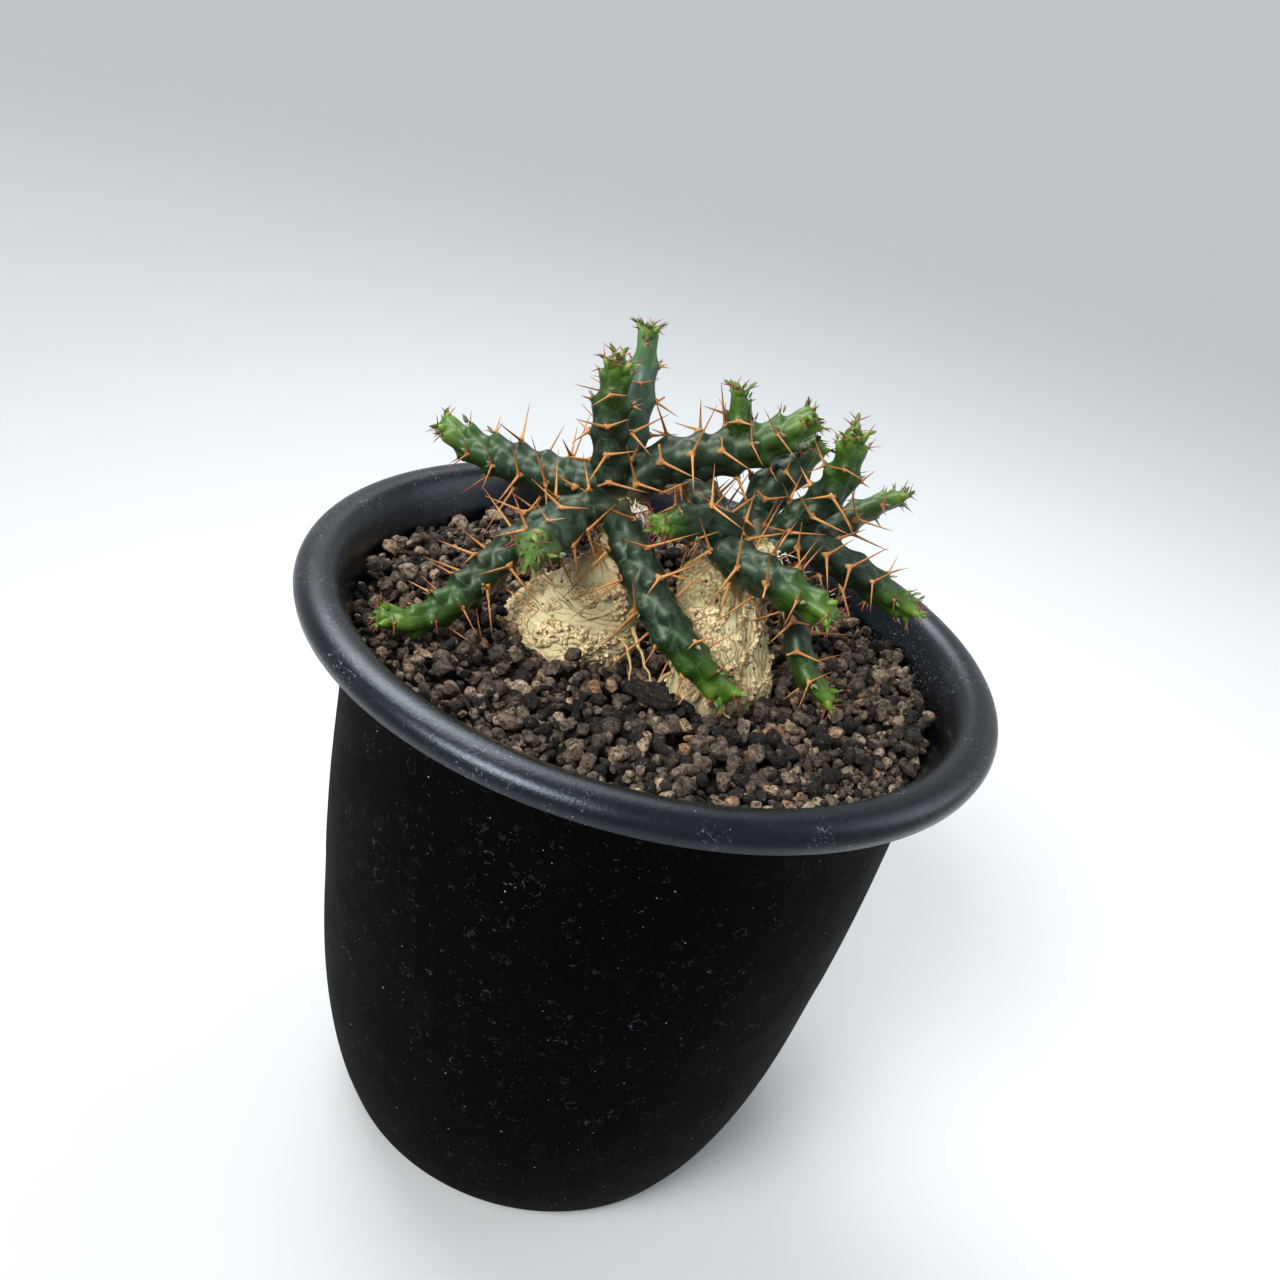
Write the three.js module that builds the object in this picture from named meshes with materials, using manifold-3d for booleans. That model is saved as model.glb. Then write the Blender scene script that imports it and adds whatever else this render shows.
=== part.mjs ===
// A small caudex spurge in its pot: two swollen, corky rootstocks stand half out of a bed of
// gravel, and ribbed green stems with paired spines grow from the two crowns at their tops.
// Millimetres, +Z up. The origin is the middle of the pot's underside.
import * as THREE from 'three';
import { mergeVertices } from 'three/addons/utils/BufferGeometryUtils.js';
import Module from 'manifold-3d';

const wasm = await Module();
wasm.setup();

// Driving dimensions
const GAP = 0.3; // clearance kept between neighbouring solids
const RIM_RADIUS = 60;
const POT_HEIGHT = 109.4;
const POT_SIDES = 36;
const LIP_BOTTOM = 105.2; // lower edge of the rolled rim
const FOOT_RADIUS = 36.6;
const FOOT_WIDTH = 4.2; // flat ring that the pot stands on
const FOOT_SLOPE = 1; // width of the slope from that ring up to the raised base
const FOOT_RISE = 1.4; // how far the middle of the base is raised off the table
const FLOOR_THICK = 1.8;
const FLOOR_RADIUS = 36.4; // of the floor inside the pot
const SLOT_COUNT = 8;
const SLOT_SIZE = new THREE.Vector3(11, 3, 8); // drain slot: length, width, depth of the cut
const SLOT_REACH = 21; // distance of a slot's middle from the axis

const SOIL_LEVEL = 101.3;
const SOIL_RADIUS = 50.2; // the pot's inside at that level
const SOIL_HEADROOM = 2; // height over the soil's level that the highest grains stay under
const GRAIN_PITCH = 3.8; // spacing of the points of the gravel's relief
const GRAIN_RISE = 1.3;
const GRAIN_DIP = 1.2;
const GRAIN_SEED = 7;

const TUBER_SIDES = 16;
const TUBER_LAYER = 3; // half the height that one ring of a rootstock stands for
const BARK_RIPPLE = 0.035; // the corky ridges' height, as a share of the rootstock's radius
const ROOTLET_RADIUS = 0.75;
const ROOTLET_SIDES = 5;

const TUBERCLE_PITCH = 5.2; // spacing of the spine-bearing bumps along a stem's rib
const RIB_RISE = 0.2; // how far a bump stands out, as a share of the stem's radius
const RIB_DIP = 0.07; // how far a rib sinks between two bumps
const RIB_HOLLOW = 0.24; // how deep the furrow between two ribs is, as a share of the radius
const ROOT_SLIM = 0.8; // a stem's girth where it leaves the crown, as a share of its full girth
const TIP_SLIM = 0.55; // its girth at the growing tip
const TIP_SLOPE = 1.1; // how fast it fills out from the tip
const TIP_DOME = 0.3; // how far the closed end stands past the last ring, as a share of the radius

const SPINE_THICK = 0.42; // radius at a spine's root
const SPINE_SUNK = 1.3; // how far a spine's root is sunk into the stem
const SPINE_SHORTEST = 0.85; // as a share of the stem's full-grown spine
const SPINE_VARIETY = 0.3; // how much longer than that the longest spine is
const SPINE_SPREAD = 54; // degrees between a spine and the middle of its pair
const SPINE_WANDER = 14; // degrees of chance in that
const SPINE_LEAN = 0.28; // lean of the spines towards the stem's tip
const SPINE_APART = 0.35; // half the distance between the roots of a pair
const YOUNG_FROM = 0.7; // share of the stem past which the spines are young
const YOUNG_REACH = 0.45; // a young spine's length, as a share of a full-grown one's
const SPINE_SEED = 11;
// A spine that would touch something is tried again at these turns, in degrees, and lengths.
const SPINE_TRIES = [[0, 1], [16, 1], [-18, 1], [30, 1], [8, 0.72], [30, 0.72], [0, 0.5], [36, 0.5]];
const SPINE_SLACK = 0.25; // clearance kept round a spine on top of the usual gap
const SPINE_ROD = 0.3; // radius of a placed spine, for the clearance of the next ones
const SPINE_HEADROOM = 1; // clearance over the gravel's highest grains and the rim
const TUBER_HEADROOM = 1.2; // clearance round the rootstocks
const WALL_REACH = 47.5; // distance from the axis past which a spine would meet the pot's wall
const CLEAR_SAMPLES = 10;

const BUD_SIZE = new THREE.Vector2(0.85, 3); // radius and length of a leaf bud at a stem's tip
const BUD_OPEN = 0.55; // how far a bud leans outward
const BUD_SEAT = 0.45; // where a bud stands, as a share of the tip's radius
const BUD_SUNK = 0.4;

// Small helpers

// The same stream of numbers between 0 and 1 on every run, for a given seed.
function randomStream(seed) {
  let state = seed >>> 0;
  return () => {
    state = (state + 0x6d2b79f5) >>> 0;
    let mixed = Math.imul(state ^ (state >>> 15), 1 | state);
    mixed = (mixed + Math.imul(mixed ^ (mixed >>> 7), 61 | mixed)) ^ mixed;
    return ((mixed ^ (mixed >>> 14)) >>> 0) / 4294967296;
  };
}

// A closed geometry as a solid: shared vertices are merged and collapsed triangles dropped.
function solid(geometry) {
  const bare = geometry.clone();
  bare.deleteAttribute('normal');
  bare.deleteAttribute('uv');
  const merged = mergeVertices(bare, 1e-4);
  const triangles = [];
  for (let i = 0; i < merged.index.count; i += 3) {
    const [a, b, c] = [0, 1, 2].map((k) => merged.index.getX(i + k));
    if (a !== b && b !== c && c !== a) triangles.push(a, b, c);
  }
  return new wasm.Manifold(new wasm.Mesh({
    numProp: 3,
    vertProperties: new Float32Array(merged.attributes.position.array),
    triVerts: new Uint32Array(triangles),
  }));
}

// The solid as a named mesh. Only its largest body is kept, and slivers are merged away.
function mesh(name, shape, material) {
  const bodies = shape.decompose();
  bodies.sort((a, b) => b.volume() - a.volume());
  const { vertProperties, triVerts, numProp } = bodies[0].simplify(0.02).getMesh();
  const positions = [];
  for (let i = 0; i < vertProperties.length; i += numProp) {
    positions.push(vertProperties[i], vertProperties[i + 1], vertProperties[i + 2]);
  }
  const geometry = new THREE.BufferGeometry();
  geometry.setAttribute('position', new THREE.Float32BufferAttribute(positions, 3));
  geometry.setIndex([...triVerts]);
  geometry.computeVertexNormals();
  const part = new THREE.Mesh(geometry, material);
  part.name = name;
  return part;
}

const joined = (shapes) => shapes.reduce((sum, shape) => sum.add(shape));
const cutBy = (shape, tools) => tools.reduce((rest, tool) => rest.subtract(tool), shape);

// A closed skin over rings of points, each ring with the same count, closed by a point at each end.
function skin(rings, firstPoint, lastPoint) {
  const sides = rings[0].length;
  const points = [firstPoint, ...rings.flat(), lastPoint];
  const last = points.length - 1;
  const index = [];
  const at = (ring, side) => 1 + ring * sides + (side % sides);
  for (let side = 0; side < sides; side += 1) {
    index.push(0, at(0, side + 1), at(0, side));
    for (let ring = 0; ring < rings.length - 1; ring += 1) {
      const [a, b] = [at(ring, side), at(ring, side + 1)];
      const [c, d] = [at(ring + 1, side), at(ring + 1, side + 1)];
      index.push(a, b, d, a, d, c);
    }
    index.push(last, at(rings.length - 1, side), at(rings.length - 1, side + 1));
  }
  const geometry = new THREE.BufferGeometry();
  geometry.setAttribute('position', new THREE.Float32BufferAttribute(points.flatMap((p) => p.toArray()), 3));
  geometry.setIndex(index);
  return geometry;
}

// A profile of [radius, height] points turned about the upright axis.
function turned(profile, sides) {
  const points = profile.map(([radius, height]) => new THREE.Vector2(radius, height));
  return solid(new THREE.LatheGeometry(points, sides).rotateX(Math.PI / 2));
}

// The pot

// Outer face of the body from the foot to just under the rim, as [radius, height].
const BODY_OUTSIDE = [
  [FOOT_RADIUS, 0], [38.4, 1.6], [39.9, 5], [41.3, 8.5], [43.4, 15.5], [45.5, 25], [47.1, 36],
  [48.3, 50], [48.9, 55], [49.9, 70], [50.3, 86], [50.6, 97],
];
// The rolled rim, from where it leaves the body's outside over the top to the inside.
const RIM_ROLL = [
  [51.8, 101.3], [53.6, 105.2], [55.6, 107.2], [57.4, 106.9], [58.5, LIP_BOTTOM], [59.6, LIP_BOTTOM],
  [RIM_RADIUS, 106.6], [59.3, 108.2], [57.6, 109.2], [55.8, POT_HEIGHT], [54, 108.8], [52.6, 107.1],
  [51.3, 104.2], [SOIL_RADIUS, SOIL_LEVEL],
];
// Inner face from the rim down to the floor.
const BODY_INSIDE = [[48.9, 96], [48.5, 72], [46.9, 52], [45.5, 36], [41.9, 15.5], [39.2, 7.5]];
const FLOOR_TOP = FOOT_RISE + FLOOR_THICK;

function pot() {
  const profile = [
    [0, FOOT_RISE], [FOOT_RADIUS - FOOT_WIDTH - FOOT_SLOPE, FOOT_RISE], [FOOT_RADIUS - FOOT_WIDTH, 0],
    ...BODY_OUTSIDE, ...RIM_ROLL, ...BODY_INSIDE, [FLOOR_RADIUS, FLOOR_TOP], [0, FLOOR_TOP],
  ];
  const slots = [];
  for (let k = 0; k < SLOT_COUNT; k += 1) {
    const slot = new THREE.BoxGeometry(...SLOT_SIZE.toArray()).translate(SLOT_REACH, 0, FLOOR_TOP / 2);
    slots.push(solid(slot.rotateZ((k * 2 * Math.PI) / SLOT_COUNT)));
  }
  return cutBy(turned(profile, POT_SIDES), slots);
}

// The rootstocks, as rings from the buried tip up: [height, x, y, radius in x, radius in y].
const LEFT_TUBER = [
  [84, -14, -1.6, 5, 5], [90, -14, -1.6, 9.5, 9], [97, -13.8, -1.7, 11.2, 10.2], [102, -13.4, -1.8, 11.3, 10.2],
  [106, -12.6, -1.9, 9.8, 9.4], [110, -11.3, -1.8, 7.4, 7.6], [113.4, -10.1, -1.5, 5.7, 6], [116, -9.4, -1, 4.3, 4.8],
  [119, -9.4, -0.5, 3.6, 3.9], [123, -10, -0.2, 3.6, 3.6], [126.6, -10.3, 0, 2.6, 2.6],
];
const FRONT_TUBER = [
  [84, 11, -9, 4, 4], [91, 11, -9.5, 5.4, 6.2], [98, 11, -9.8, 6, 6.8], [103, 10.7, -9.4, 6.1, 6.8],
  [108.5, 9.6, -7.8, 6.2, 6.7], [113.5, 8.3, -5.4, 6, 6.3], [117.5, 7.3, -3.2, 5.3, 5.6],
  [120.6, 7.7, -1.4, 4.3, 4.4], [122.4, 8.4, -0.4, 3, 3],
];
const RIGHT_TUBER = [
  [83, 15.8, -3, 4, 4], [90, 15.6, -3.2, 6.4, 8], [97, 15.3, -3.6, 7, 9], [102, 14.9, -3.6, 6.9, 9],
  [106, 14.2, -3.2, 6.3, 8.2], [110, 13.4, -2.2, 5.3, 6.8], [114, 12.9, -0.8, 4.6, 5.4],
  [118.6, 13.2, 1.2, 4.1, 4.6], [122, 13.8, 2.4, 3.6, 3.8], [124.6, 14.2, 3, 2.6, 2.6],
];
// Fine roots that lie on the gravel at the foot of the front rootstock: [from, to].
const ROOTLETS = [
  [[9.4, -14.2, 103.4], [9, -18.4, 103.2]], [[10.9, -14.4, 103.6], [11.6, -19.2, 103]],
  [[12.4, -14, 103.4], [13.6, -17.6, 103.2]],
];

function tuber(rings, grow = 0) {
  const layers = rings.map(([height, x, y, radiusX, radiusY], layer) => {
    const ring = [];
    for (let side = 0; side < TUBER_SIDES; side += 1) {
      const angle = (side * 2 * Math.PI) / TUBER_SIDES;
      const ripple = 1 + BARK_RIPPLE * Math.sin(3 * angle + 1.9 * layer) * Math.cos(angle - layer);
      ring.push(new THREE.Vector3(
        x + (radiusX * ripple + grow) * Math.cos(angle),
        y + (radiusY * ripple + grow) * Math.sin(angle),
        height + grow * ((2 * layer) / (rings.length - 1) - 1),
      ));
    }
    return ring;
  });
  const [low, high] = [rings[0], rings[rings.length - 1]];
  const firstPoint = new THREE.Vector3(low[1], low[2], low[0] - low[3] / 2 - grow);
  const lastPoint = new THREE.Vector3(high[1], high[2], high[0] + high[3] / 3 + grow);
  return solid(skin(layers, firstPoint, lastPoint));
}

const leftRootstock = (grow = 0) => tuber(LEFT_TUBER, grow);
const rightRootstock = (grow = 0) => joined([
  tuber(FRONT_TUBER, grow), tuber(RIGHT_TUBER, grow), ...ROOTLETS.map((ends) => rootlet(ends, grow)),
]);

function rootlet(ends, grow) {
  const [from, to] = ends.map((point) => new THREE.Vector3(...point));
  const direction = to.clone().sub(from).normalize();
  return thorn(from, direction, from.distanceTo(to) + 3 * grow, ROOTLET_RADIUS + grow, ROOTLET_SIDES);
}

// True where a point lies within a margin of a rootstock's own rings.
function nearTuber(point, rings, margin) {
  return rings.some(([height, x, y, radiusX, radiusY]) => {
    const flat = Math.hypot((point.x - x) / (radiusX + margin), (point.y - y) / (radiusY + margin));
    return Math.abs(point.z - height) < TUBER_LAYER && flat < 1;
  });
}

// The stems. Each route runs from inside the rootstock's crown to the growing tip. radius is the
// middle of the stem, ribs the count of its angles, spine the length of its full-grown spines, tip
// the girth at a tip that isn't as slim as the others, and shoots are side shoots with a route, a
// radius and ribs of their own.
const STEMS = [
  {
    name: 'stem_left_high', radius: 3.6, ribs: 4, spine: 8.5,
    route: [[-10.4, 0.4, 126], [-13.6, 1.5, 126.8], [-21.5, 4, 124.9], [-31, 7, 124], [-38.4, 9.2, 124.2],
      [-43.4, 10.8, 125.6]],
  },
  {
    name: 'stem_left_low', radius: 3.2, ribs: 4, spine: 7.5,
    route: [[-10.4, -0.6, 124.6], [-13, -2, 124.6], [-19.3, -4.4, 121.7], [-25, -8.4, 116.6],
      [-29.4, -13, 110.6], [-33.6, -18, 106.4], [-37.2, -21.8, 105.3], [-40.8, -22.8, 106]],
  },
  {
    name: 'stem_left_front', radius: 3.5, ribs: 4, spine: 6.5, tip: 0.85,
    route: [[-17, -4.6, 122.6], [-18.4, -9, 122.2], [-19.9, -15, 121.3], [-20.8, -21.5, 121]],
  },
  {
    name: 'stem_upright_front', radius: 3, ribs: 4, spine: 7,
    route: [[-11.4, 0, 125], [-12.8, -0.2, 128.6], [-14.4, -0.6, 133.8], [-15.5, -1.2, 139], [-15.9, -1.8, 143.8],
      [-16.4, -2.6, 148.4]],
  },
  {
    name: 'stem_upright_back', radius: 2.5, ribs: 4, spine: 8,
    route: [[-10.3, 1.6, 125], [-10.9, 3.8, 129.4], [-11.7, 6, 134.6], [-12.4, 8, 141.6], [-13, 9, 147],
      [-13.6, 10, 151]],
  },
  {
    name: 'stem_right_high', radius: 3.8, ribs: 4, spine: 9,
    route: [[-9.4, 1, 126], [-8.2, 2.6, 129.8], [-4.6, 4.4, 132.7], [2.1, 6.6, 134.9], [7.8, 9, 137.4],
      [12.6, 10.8, 140.6], [15.8, 12, 143.6]],
    shoots: [{ radius: 2, ribs: 3, spine: 4, route: [[5.6, 8.4, 137], [4.4, 8.4, 141.4], [3, 8.2, 145.8]] }],
  },
  {
    name: 'stem_front', radius: 3.5, ribs: 4, spine: 8.5,
    route: [[-10.2, -1.4, 123.6], [-8.4, -6, 122.6], [-4.6, -11, 119.6], [-1.2, -14.6, 116.6],
      [2.4, -16.8, 113.8], [6.2, -18, 111], [10.2, -18.2, 108.2], [14, -18, 106]],
  },
  {
    name: 'stem_behind_left', radius: 2.9, ribs: 4, spine: 7,
    route: [[-10.6, 1.4, 122.6], [-12.4, 6.4, 122.4], [-14, 13, 119.8], [-15, 20.6, 116.4], [-15.2, 27.6, 114.2]],
  },
  {
    name: 'stem_stub', radius: 3.2, ribs: 4, spine: 6.5,
    route: [[9.2, 1, 123.6], [6.4, -1, 126], [2.4, -3.2, 126.9], [-0.8, -6.4, 126.8], [-3.2, -8.8, 126.6]],
  },
  {
    name: 'stem_back_left', radius: 3.3, ribs: 4, spine: 7,
    route: [[8.8, 1.4, 121.6], [6.6, 6.6, 123], [3, 13, 124], [0.4, 19, 125.4], [-1, 23.6, 127.6]],
  },
  {
    name: 'stem_back_rising', radius: 3.7, ribs: 4, spine: 7.5,
    route: [[13.2, 4.4, 122.6], [11.9, 9, 125.6], [13, 11.8, 130], [15.8, 14.6, 134.2], [18.4, 17, 138]],
  },
  {
    name: 'stem_right_rising', radius: 2.9, ribs: 4, spine: 7.5,
    route: [[14.8, 3.6, 123], [17.2, 4, 127.8], [20.4, 3.4, 132.6], [22.3, 2.2, 138], [22.4, 1, 142.6],
      [21.8, 0, 146.6]],
  },
  {
    name: 'stem_right_back', radius: 2.5, ribs: 3, spine: 7,
    route: [[15.4, 4.4, 121.6], [20.6, 7.6, 123.2], [24.6, 10.6, 125.9], [29.4, 14.4, 129.6], [35, 18, 132.6]],
  },
  {
    name: 'stem_right_low', radius: 3.1, ribs: 4, spine: 7.5,
    route: [[14.6, 2.4, 121.4], [18.6, 3.8, 125], [23.6, 5.8, 123.8], [31.6, 7.6, 121], [38.4, 8, 117.9],
      [42.2, 8, 117.1]],
  },
  {
    name: 'stem_right_front', radius: 3.3, ribs: 4, spine: 8.5,
    route: [[8.4, -0.8, 121.4], [8.2, -4.8, 123.4], [12.6, -9.2, 123.9], [18.8, -12.8, 123.7], [25.4, -16.4, 123.3]],
  },
  {
    name: 'stem_drooping', radius: 2.4, ribs: 3, spine: 7,
    route: [[15, 0.4, 119.4], [20.8, -3.8, 117.2], [23.2, -6, 112.6], [25.4, -7.8, 109], [28.4, -9.2, 106.7],
      [31, -9.8, 105.5]],
  },
  {
    name: 'stem_behind_right', radius: 2.7, ribs: 3, spine: 6.5,
    route: [[14.6, 3.4, 120], [15.6, 11, 119.6], [17.4, 18.6, 117], [19, 25.6, 113.6], [20, 30, 111.8]],
  },
];

const alongStem = (stem) => {
  const curve = new THREE.CatmullRomCurve3(stem.route.map((point) => new THREE.Vector3(...point)));
  const steps = Math.round(curve.getLength() / TUBERCLE_PITCH) * 2;
  return { curve, steps, frames: curve.computeFrenetFrames(steps, false) };
};

// Slimmer at the root, full in the middle and slim again in the young growth at the tip.
const taper = (stem, along) => (
  Math.min(1, ROOT_SLIM + along) * Math.min(1, (stem.tip ?? TIP_SLIM) + TIP_SLOPE * (1 - along))
);

// The stem's surface point at a step along it and a half rib round it. Bumps of neighbouring ribs
// take turns, and a bump falls on every second step of its rib.
function stemPoint({ curve, steps, frames }, stem, step, half, grow = 0) {
  const along = step / steps;
  const angle = (half * Math.PI) / stem.ribs;
  const rib = half % 2 === 0;
  const bump = rib && (step + half / 2) % 2 === 0;
  const shape = rib ? 1 + (bump ? RIB_RISE : -RIB_DIP) : 1 - RIB_HOLLOW;
  const out = frames.normals[step].clone().multiplyScalar(Math.cos(angle))
    .addScaledVector(frames.binormals[step], Math.sin(angle));
  const centre = curve.getPointAt(along);
  const radius = stem.radius * taper(stem, along) * shape + grow;
  return { point: centre.clone().addScaledVector(out, radius), out, centre, radius, bump, along };
}

function stemBody(stem, grow = 0) {
  const path = alongStem(stem);
  const rings = [];
  for (let step = 0; step <= path.steps; step += 1) {
    const ring = [];
    for (let half = 0; half < 2 * stem.ribs; half += 1) {
      ring.push(stemPoint(path, stem, step, half, grow).point);
    }
    rings.push(ring);
  }
  const { curve } = path;
  const lengthen = stem.radius * TIP_DOME + grow;
  const root = curve.getPointAt(0).addScaledVector(curve.getTangentAt(0), -lengthen);
  const tip = curve.getPointAt(1).addScaledVector(curve.getTangentAt(1), lengthen);
  return solid(skin(rings, root, tip));
}

// A pointed cone with few sides from a root point along a direction.
function thorn(root, direction, length, radius, sides = 3) {
  const cone = new THREE.ConeGeometry(radius, length, sides).translate(0, length / 2, 0);
  cone.applyQuaternion(new THREE.Quaternion().setFromUnitVectors(new THREE.Vector3(0, 1, 0), direction));
  return solid(cone.translate(...root.toArray()));
}

// Keeping spines clear of other stems: every stem body and every placed spine is a set of rods.
const rods = [];
const addRod = (owner, from, to, radius) => rods.push({ owner, line: new THREE.Line3(from, to), radius });

function rodsOfBody(name, stem) {
  const { curve, steps } = alongStem(stem);
  for (let step = 0; step < steps; step += 1) {
    const radius = stem.radius * taper(stem, step / steps) * (1 + RIB_RISE);
    addRod(name, curve.getPointAt(step / steps), curve.getPointAt((step + 1) / steps), radius);
  }
}

function clear(owner, from, to, radius) {
  const near = new THREE.Vector3();
  const nearCork = (point) => [LEFT_TUBER, FRONT_TUBER, RIGHT_TUBER]
    .some((rings) => nearTuber(point, rings, TUBER_HEADROOM));
  for (let k = 1; k <= CLEAR_SAMPLES; k += 1) {
    const point = from.clone().lerp(to, k / CLEAR_SAMPLES);
    const wall = point.z < POT_HEIGHT + SPINE_HEADROOM && Math.hypot(point.x, point.y) > WALL_REACH;
    if (wall || point.z < SOIL_LEVEL + GRAIN_RISE + SPINE_HEADROOM || nearCork(point)) return false;
    for (const rod of rods) {
      if (rod.owner === owner) continue;
      rod.line.closestPointToPoint(point, true, near);
      if (near.distanceTo(point) < rod.radius + radius + GAP + SPINE_SLACK) return false;
    }
  }
  return true;
}

// The pair of spines at each bump. A spine that would touch another stem is turned, then shortened.
function spines(name, stem, random) {
  const path = alongStem(stem);
  const placed = [];
  for (let step = 2; step <= path.steps; step += 1) {
    const tangent = path.curve.getTangentAt(step / path.steps);
    for (let half = 0; half < 2 * stem.ribs; half += 2) {
      const { out, centre, radius, bump, along } = stemPoint(path, stem, step, half);
      const everySecond = ((step + half) >> 1) % 2 === 0;
      if (!bump || !everySecond) continue;
      const round = new THREE.Vector3().crossVectors(tangent, out);
      const root = centre.clone().addScaledVector(out, radius - SPINE_SUNK);
      const grown = stem.spine * (along > YOUNG_FROM ? YOUNG_REACH : 1);
      for (const side of [-1, 1]) {
        const reach = grown * (SPINE_SHORTEST + SPINE_VARIETY * random());
        const wander = SPINE_WANDER * (random() - 0.5);
        const from = root.clone().addScaledVector(round, side * SPINE_APART);
        for (const [turn, share] of SPINE_TRIES) {
          const spread = THREE.MathUtils.degToRad(SPINE_SPREAD + wander - turn);
          const direction = out.clone().multiplyScalar(Math.cos(spread))
            .addScaledVector(round, side * Math.sin(spread)).addScaledVector(tangent, SPINE_LEAN).normalize();
          const length = SPINE_SUNK + reach * share;
          const to = from.clone().addScaledVector(direction, length);
          if (!clear(name, from, to, SPINE_ROD)) continue;
          placed.push(thorn(from, direction, length, SPINE_THICK));
          addRod(name, from, to, SPINE_ROD);
          break;
        }
      }
    }
  }
  return placed;
}

// The leaf buds that crowd round a growing tip.
function buds(name, stem) {
  const path = alongStem(stem);
  const tangent = path.curve.getTangentAt(1);
  const placed = [];
  for (let half = 1; half < 2 * stem.ribs; half += 2) {
    const { out, centre, radius } = stemPoint(path, stem, path.steps, half);
    const direction = out.clone().multiplyScalar(BUD_OPEN).add(tangent).normalize();
    const from = centre.clone().addScaledVector(out, radius * BUD_SEAT).addScaledVector(tangent, -BUD_SUNK);
    if (clear(name, from, from.clone().addScaledVector(direction, BUD_SIZE.y), BUD_SIZE.x)) {
      placed.push(thorn(from, direction, BUD_SIZE.y, BUD_SIZE.x));
    }
  }
  return placed;
}

const limbs = (stem) => [stem, ...(stem.shoots ?? [])];

function stems() {
  const random = randomStream(SPINE_SEED);
  STEMS.forEach((stem) => limbs(stem).forEach((limb) => rodsOfBody(stem.name, limb)));
  const taken = [leftRootstock(GAP), rightRootstock(GAP)];
  return STEMS.map((stem) => {
    const parts = limbs(stem);
    const body = cutBy(joined(parts.map((limb) => stemBody(limb))), taken);
    taken.push(joined(parts.map((limb) => stemBody(limb, GAP))));
    const armed = parts.flatMap((limb) => [...spines(stem.name, limb, random), ...buds(stem.name, limb)]);
    return [stem.name, joined([body, ...armed])];
  });
}

// The gravel: a body that fills the pot, with coarse grains as bumps on a three-way grid.
function gravel() {
  const across = 2 * (SOIL_RADIUS + GRAIN_PITCH);
  const rowHeight = GRAIN_PITCH * Math.sqrt(0.75);
  const rows = Math.ceil(across / rowHeight);
  const columns = Math.ceil(across / GRAIN_PITCH + rows / 2);
  const slab = new THREE.BoxGeometry(columns, rows, SOIL_LEVEL, columns, rows, 1);
  const { position } = slab.attributes;
  for (let i = 0; i < position.count; i += 1) {
    const column = Math.round(position.getX(i) + columns / 2);
    const row = Math.round(position.getY(i) + rows / 2);
    const top = position.getZ(i) > 0;
    const grain = (column + row) % 3 === 0;
    const chance = randomStream(GRAIN_SEED + 131 * column + 7919 * row)();
    const lift = grain ? GRAIN_RISE * (0.5 + 0.5 * chance) : -GRAIN_DIP * chance;
    const x = (column - columns / 2 - (row - rows / 2) / 2) * GRAIN_PITCH;
    position.setXYZ(i, x, (row - rows / 2) * rowHeight, top ? SOIL_LEVEL + lift : 0);
  }
  const inside = BODY_INSIDE.slice().reverse().map(([radius, height]) => [radius - GAP, height]);
  const filling = turned([
    [0, FLOOR_TOP + GAP], [FLOOR_RADIUS - GAP, FLOOR_TOP + GAP], ...inside, [SOIL_RADIUS - GAP, SOIL_LEVEL],
    [SOIL_RADIUS, SOIL_LEVEL + SOIL_HEADROOM], [0, SOIL_LEVEL + SOIL_HEADROOM],
  ], POT_SIDES);
  const sockets = [leftRootstock(GAP), rightRootstock(GAP)];
  const resting = STEMS.map((stem) => stemBody(stem, GAP));
  return cutBy(solid(slab).intersect(filling), [...sockets, ...resting]);
}

// Finishes
const finish = (color, roughness) => new THREE.MeshStandardMaterial({ color, roughness, metalness: 0 });
const BLACK_PLASTIC = finish(0x17161a, 0.62);
const GRAVEL = finish(0x4f4238, 0.95);
const CORK = finish(0xcdbd92, 0.85);
const GREEN_SKIN = finish(0x2b4d38, 0.4);

// The plant in its pot
const plant = new THREE.Group();
plant.add(mesh('pot', pot(), BLACK_PLASTIC));
plant.add(mesh('gravel', gravel(), GRAVEL));
plant.add(mesh('caudex_left', leftRootstock(), CORK));
plant.add(mesh('caudex_right', rightRootstock(), CORK));
stems().forEach(([name, shape]) => plant.add(mesh(name, shape, GREEN_SKIN)));

export default plant;
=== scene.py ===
import math

import bmesh
import bpy
import numpy as np
from mathutils import Matrix, Vector


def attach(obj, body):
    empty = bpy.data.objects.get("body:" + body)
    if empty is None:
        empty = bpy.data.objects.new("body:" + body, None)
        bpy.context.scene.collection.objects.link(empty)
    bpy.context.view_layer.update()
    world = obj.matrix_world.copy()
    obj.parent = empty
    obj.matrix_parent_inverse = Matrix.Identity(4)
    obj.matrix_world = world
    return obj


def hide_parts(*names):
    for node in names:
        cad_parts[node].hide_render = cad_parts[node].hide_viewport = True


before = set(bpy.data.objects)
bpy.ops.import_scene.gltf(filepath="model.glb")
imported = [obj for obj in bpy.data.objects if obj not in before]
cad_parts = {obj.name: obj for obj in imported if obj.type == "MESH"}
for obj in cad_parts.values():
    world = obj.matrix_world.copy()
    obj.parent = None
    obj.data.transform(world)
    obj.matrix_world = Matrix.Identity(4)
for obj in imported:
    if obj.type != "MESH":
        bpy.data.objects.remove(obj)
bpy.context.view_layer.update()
MM = 0.001
BODY = "root"
# Large odd numbers that turn a cell's place into one without a pattern
CELL_MIX = (374761393, 668265263, 1274126177)
BIT_MIX = 1103515245

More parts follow.
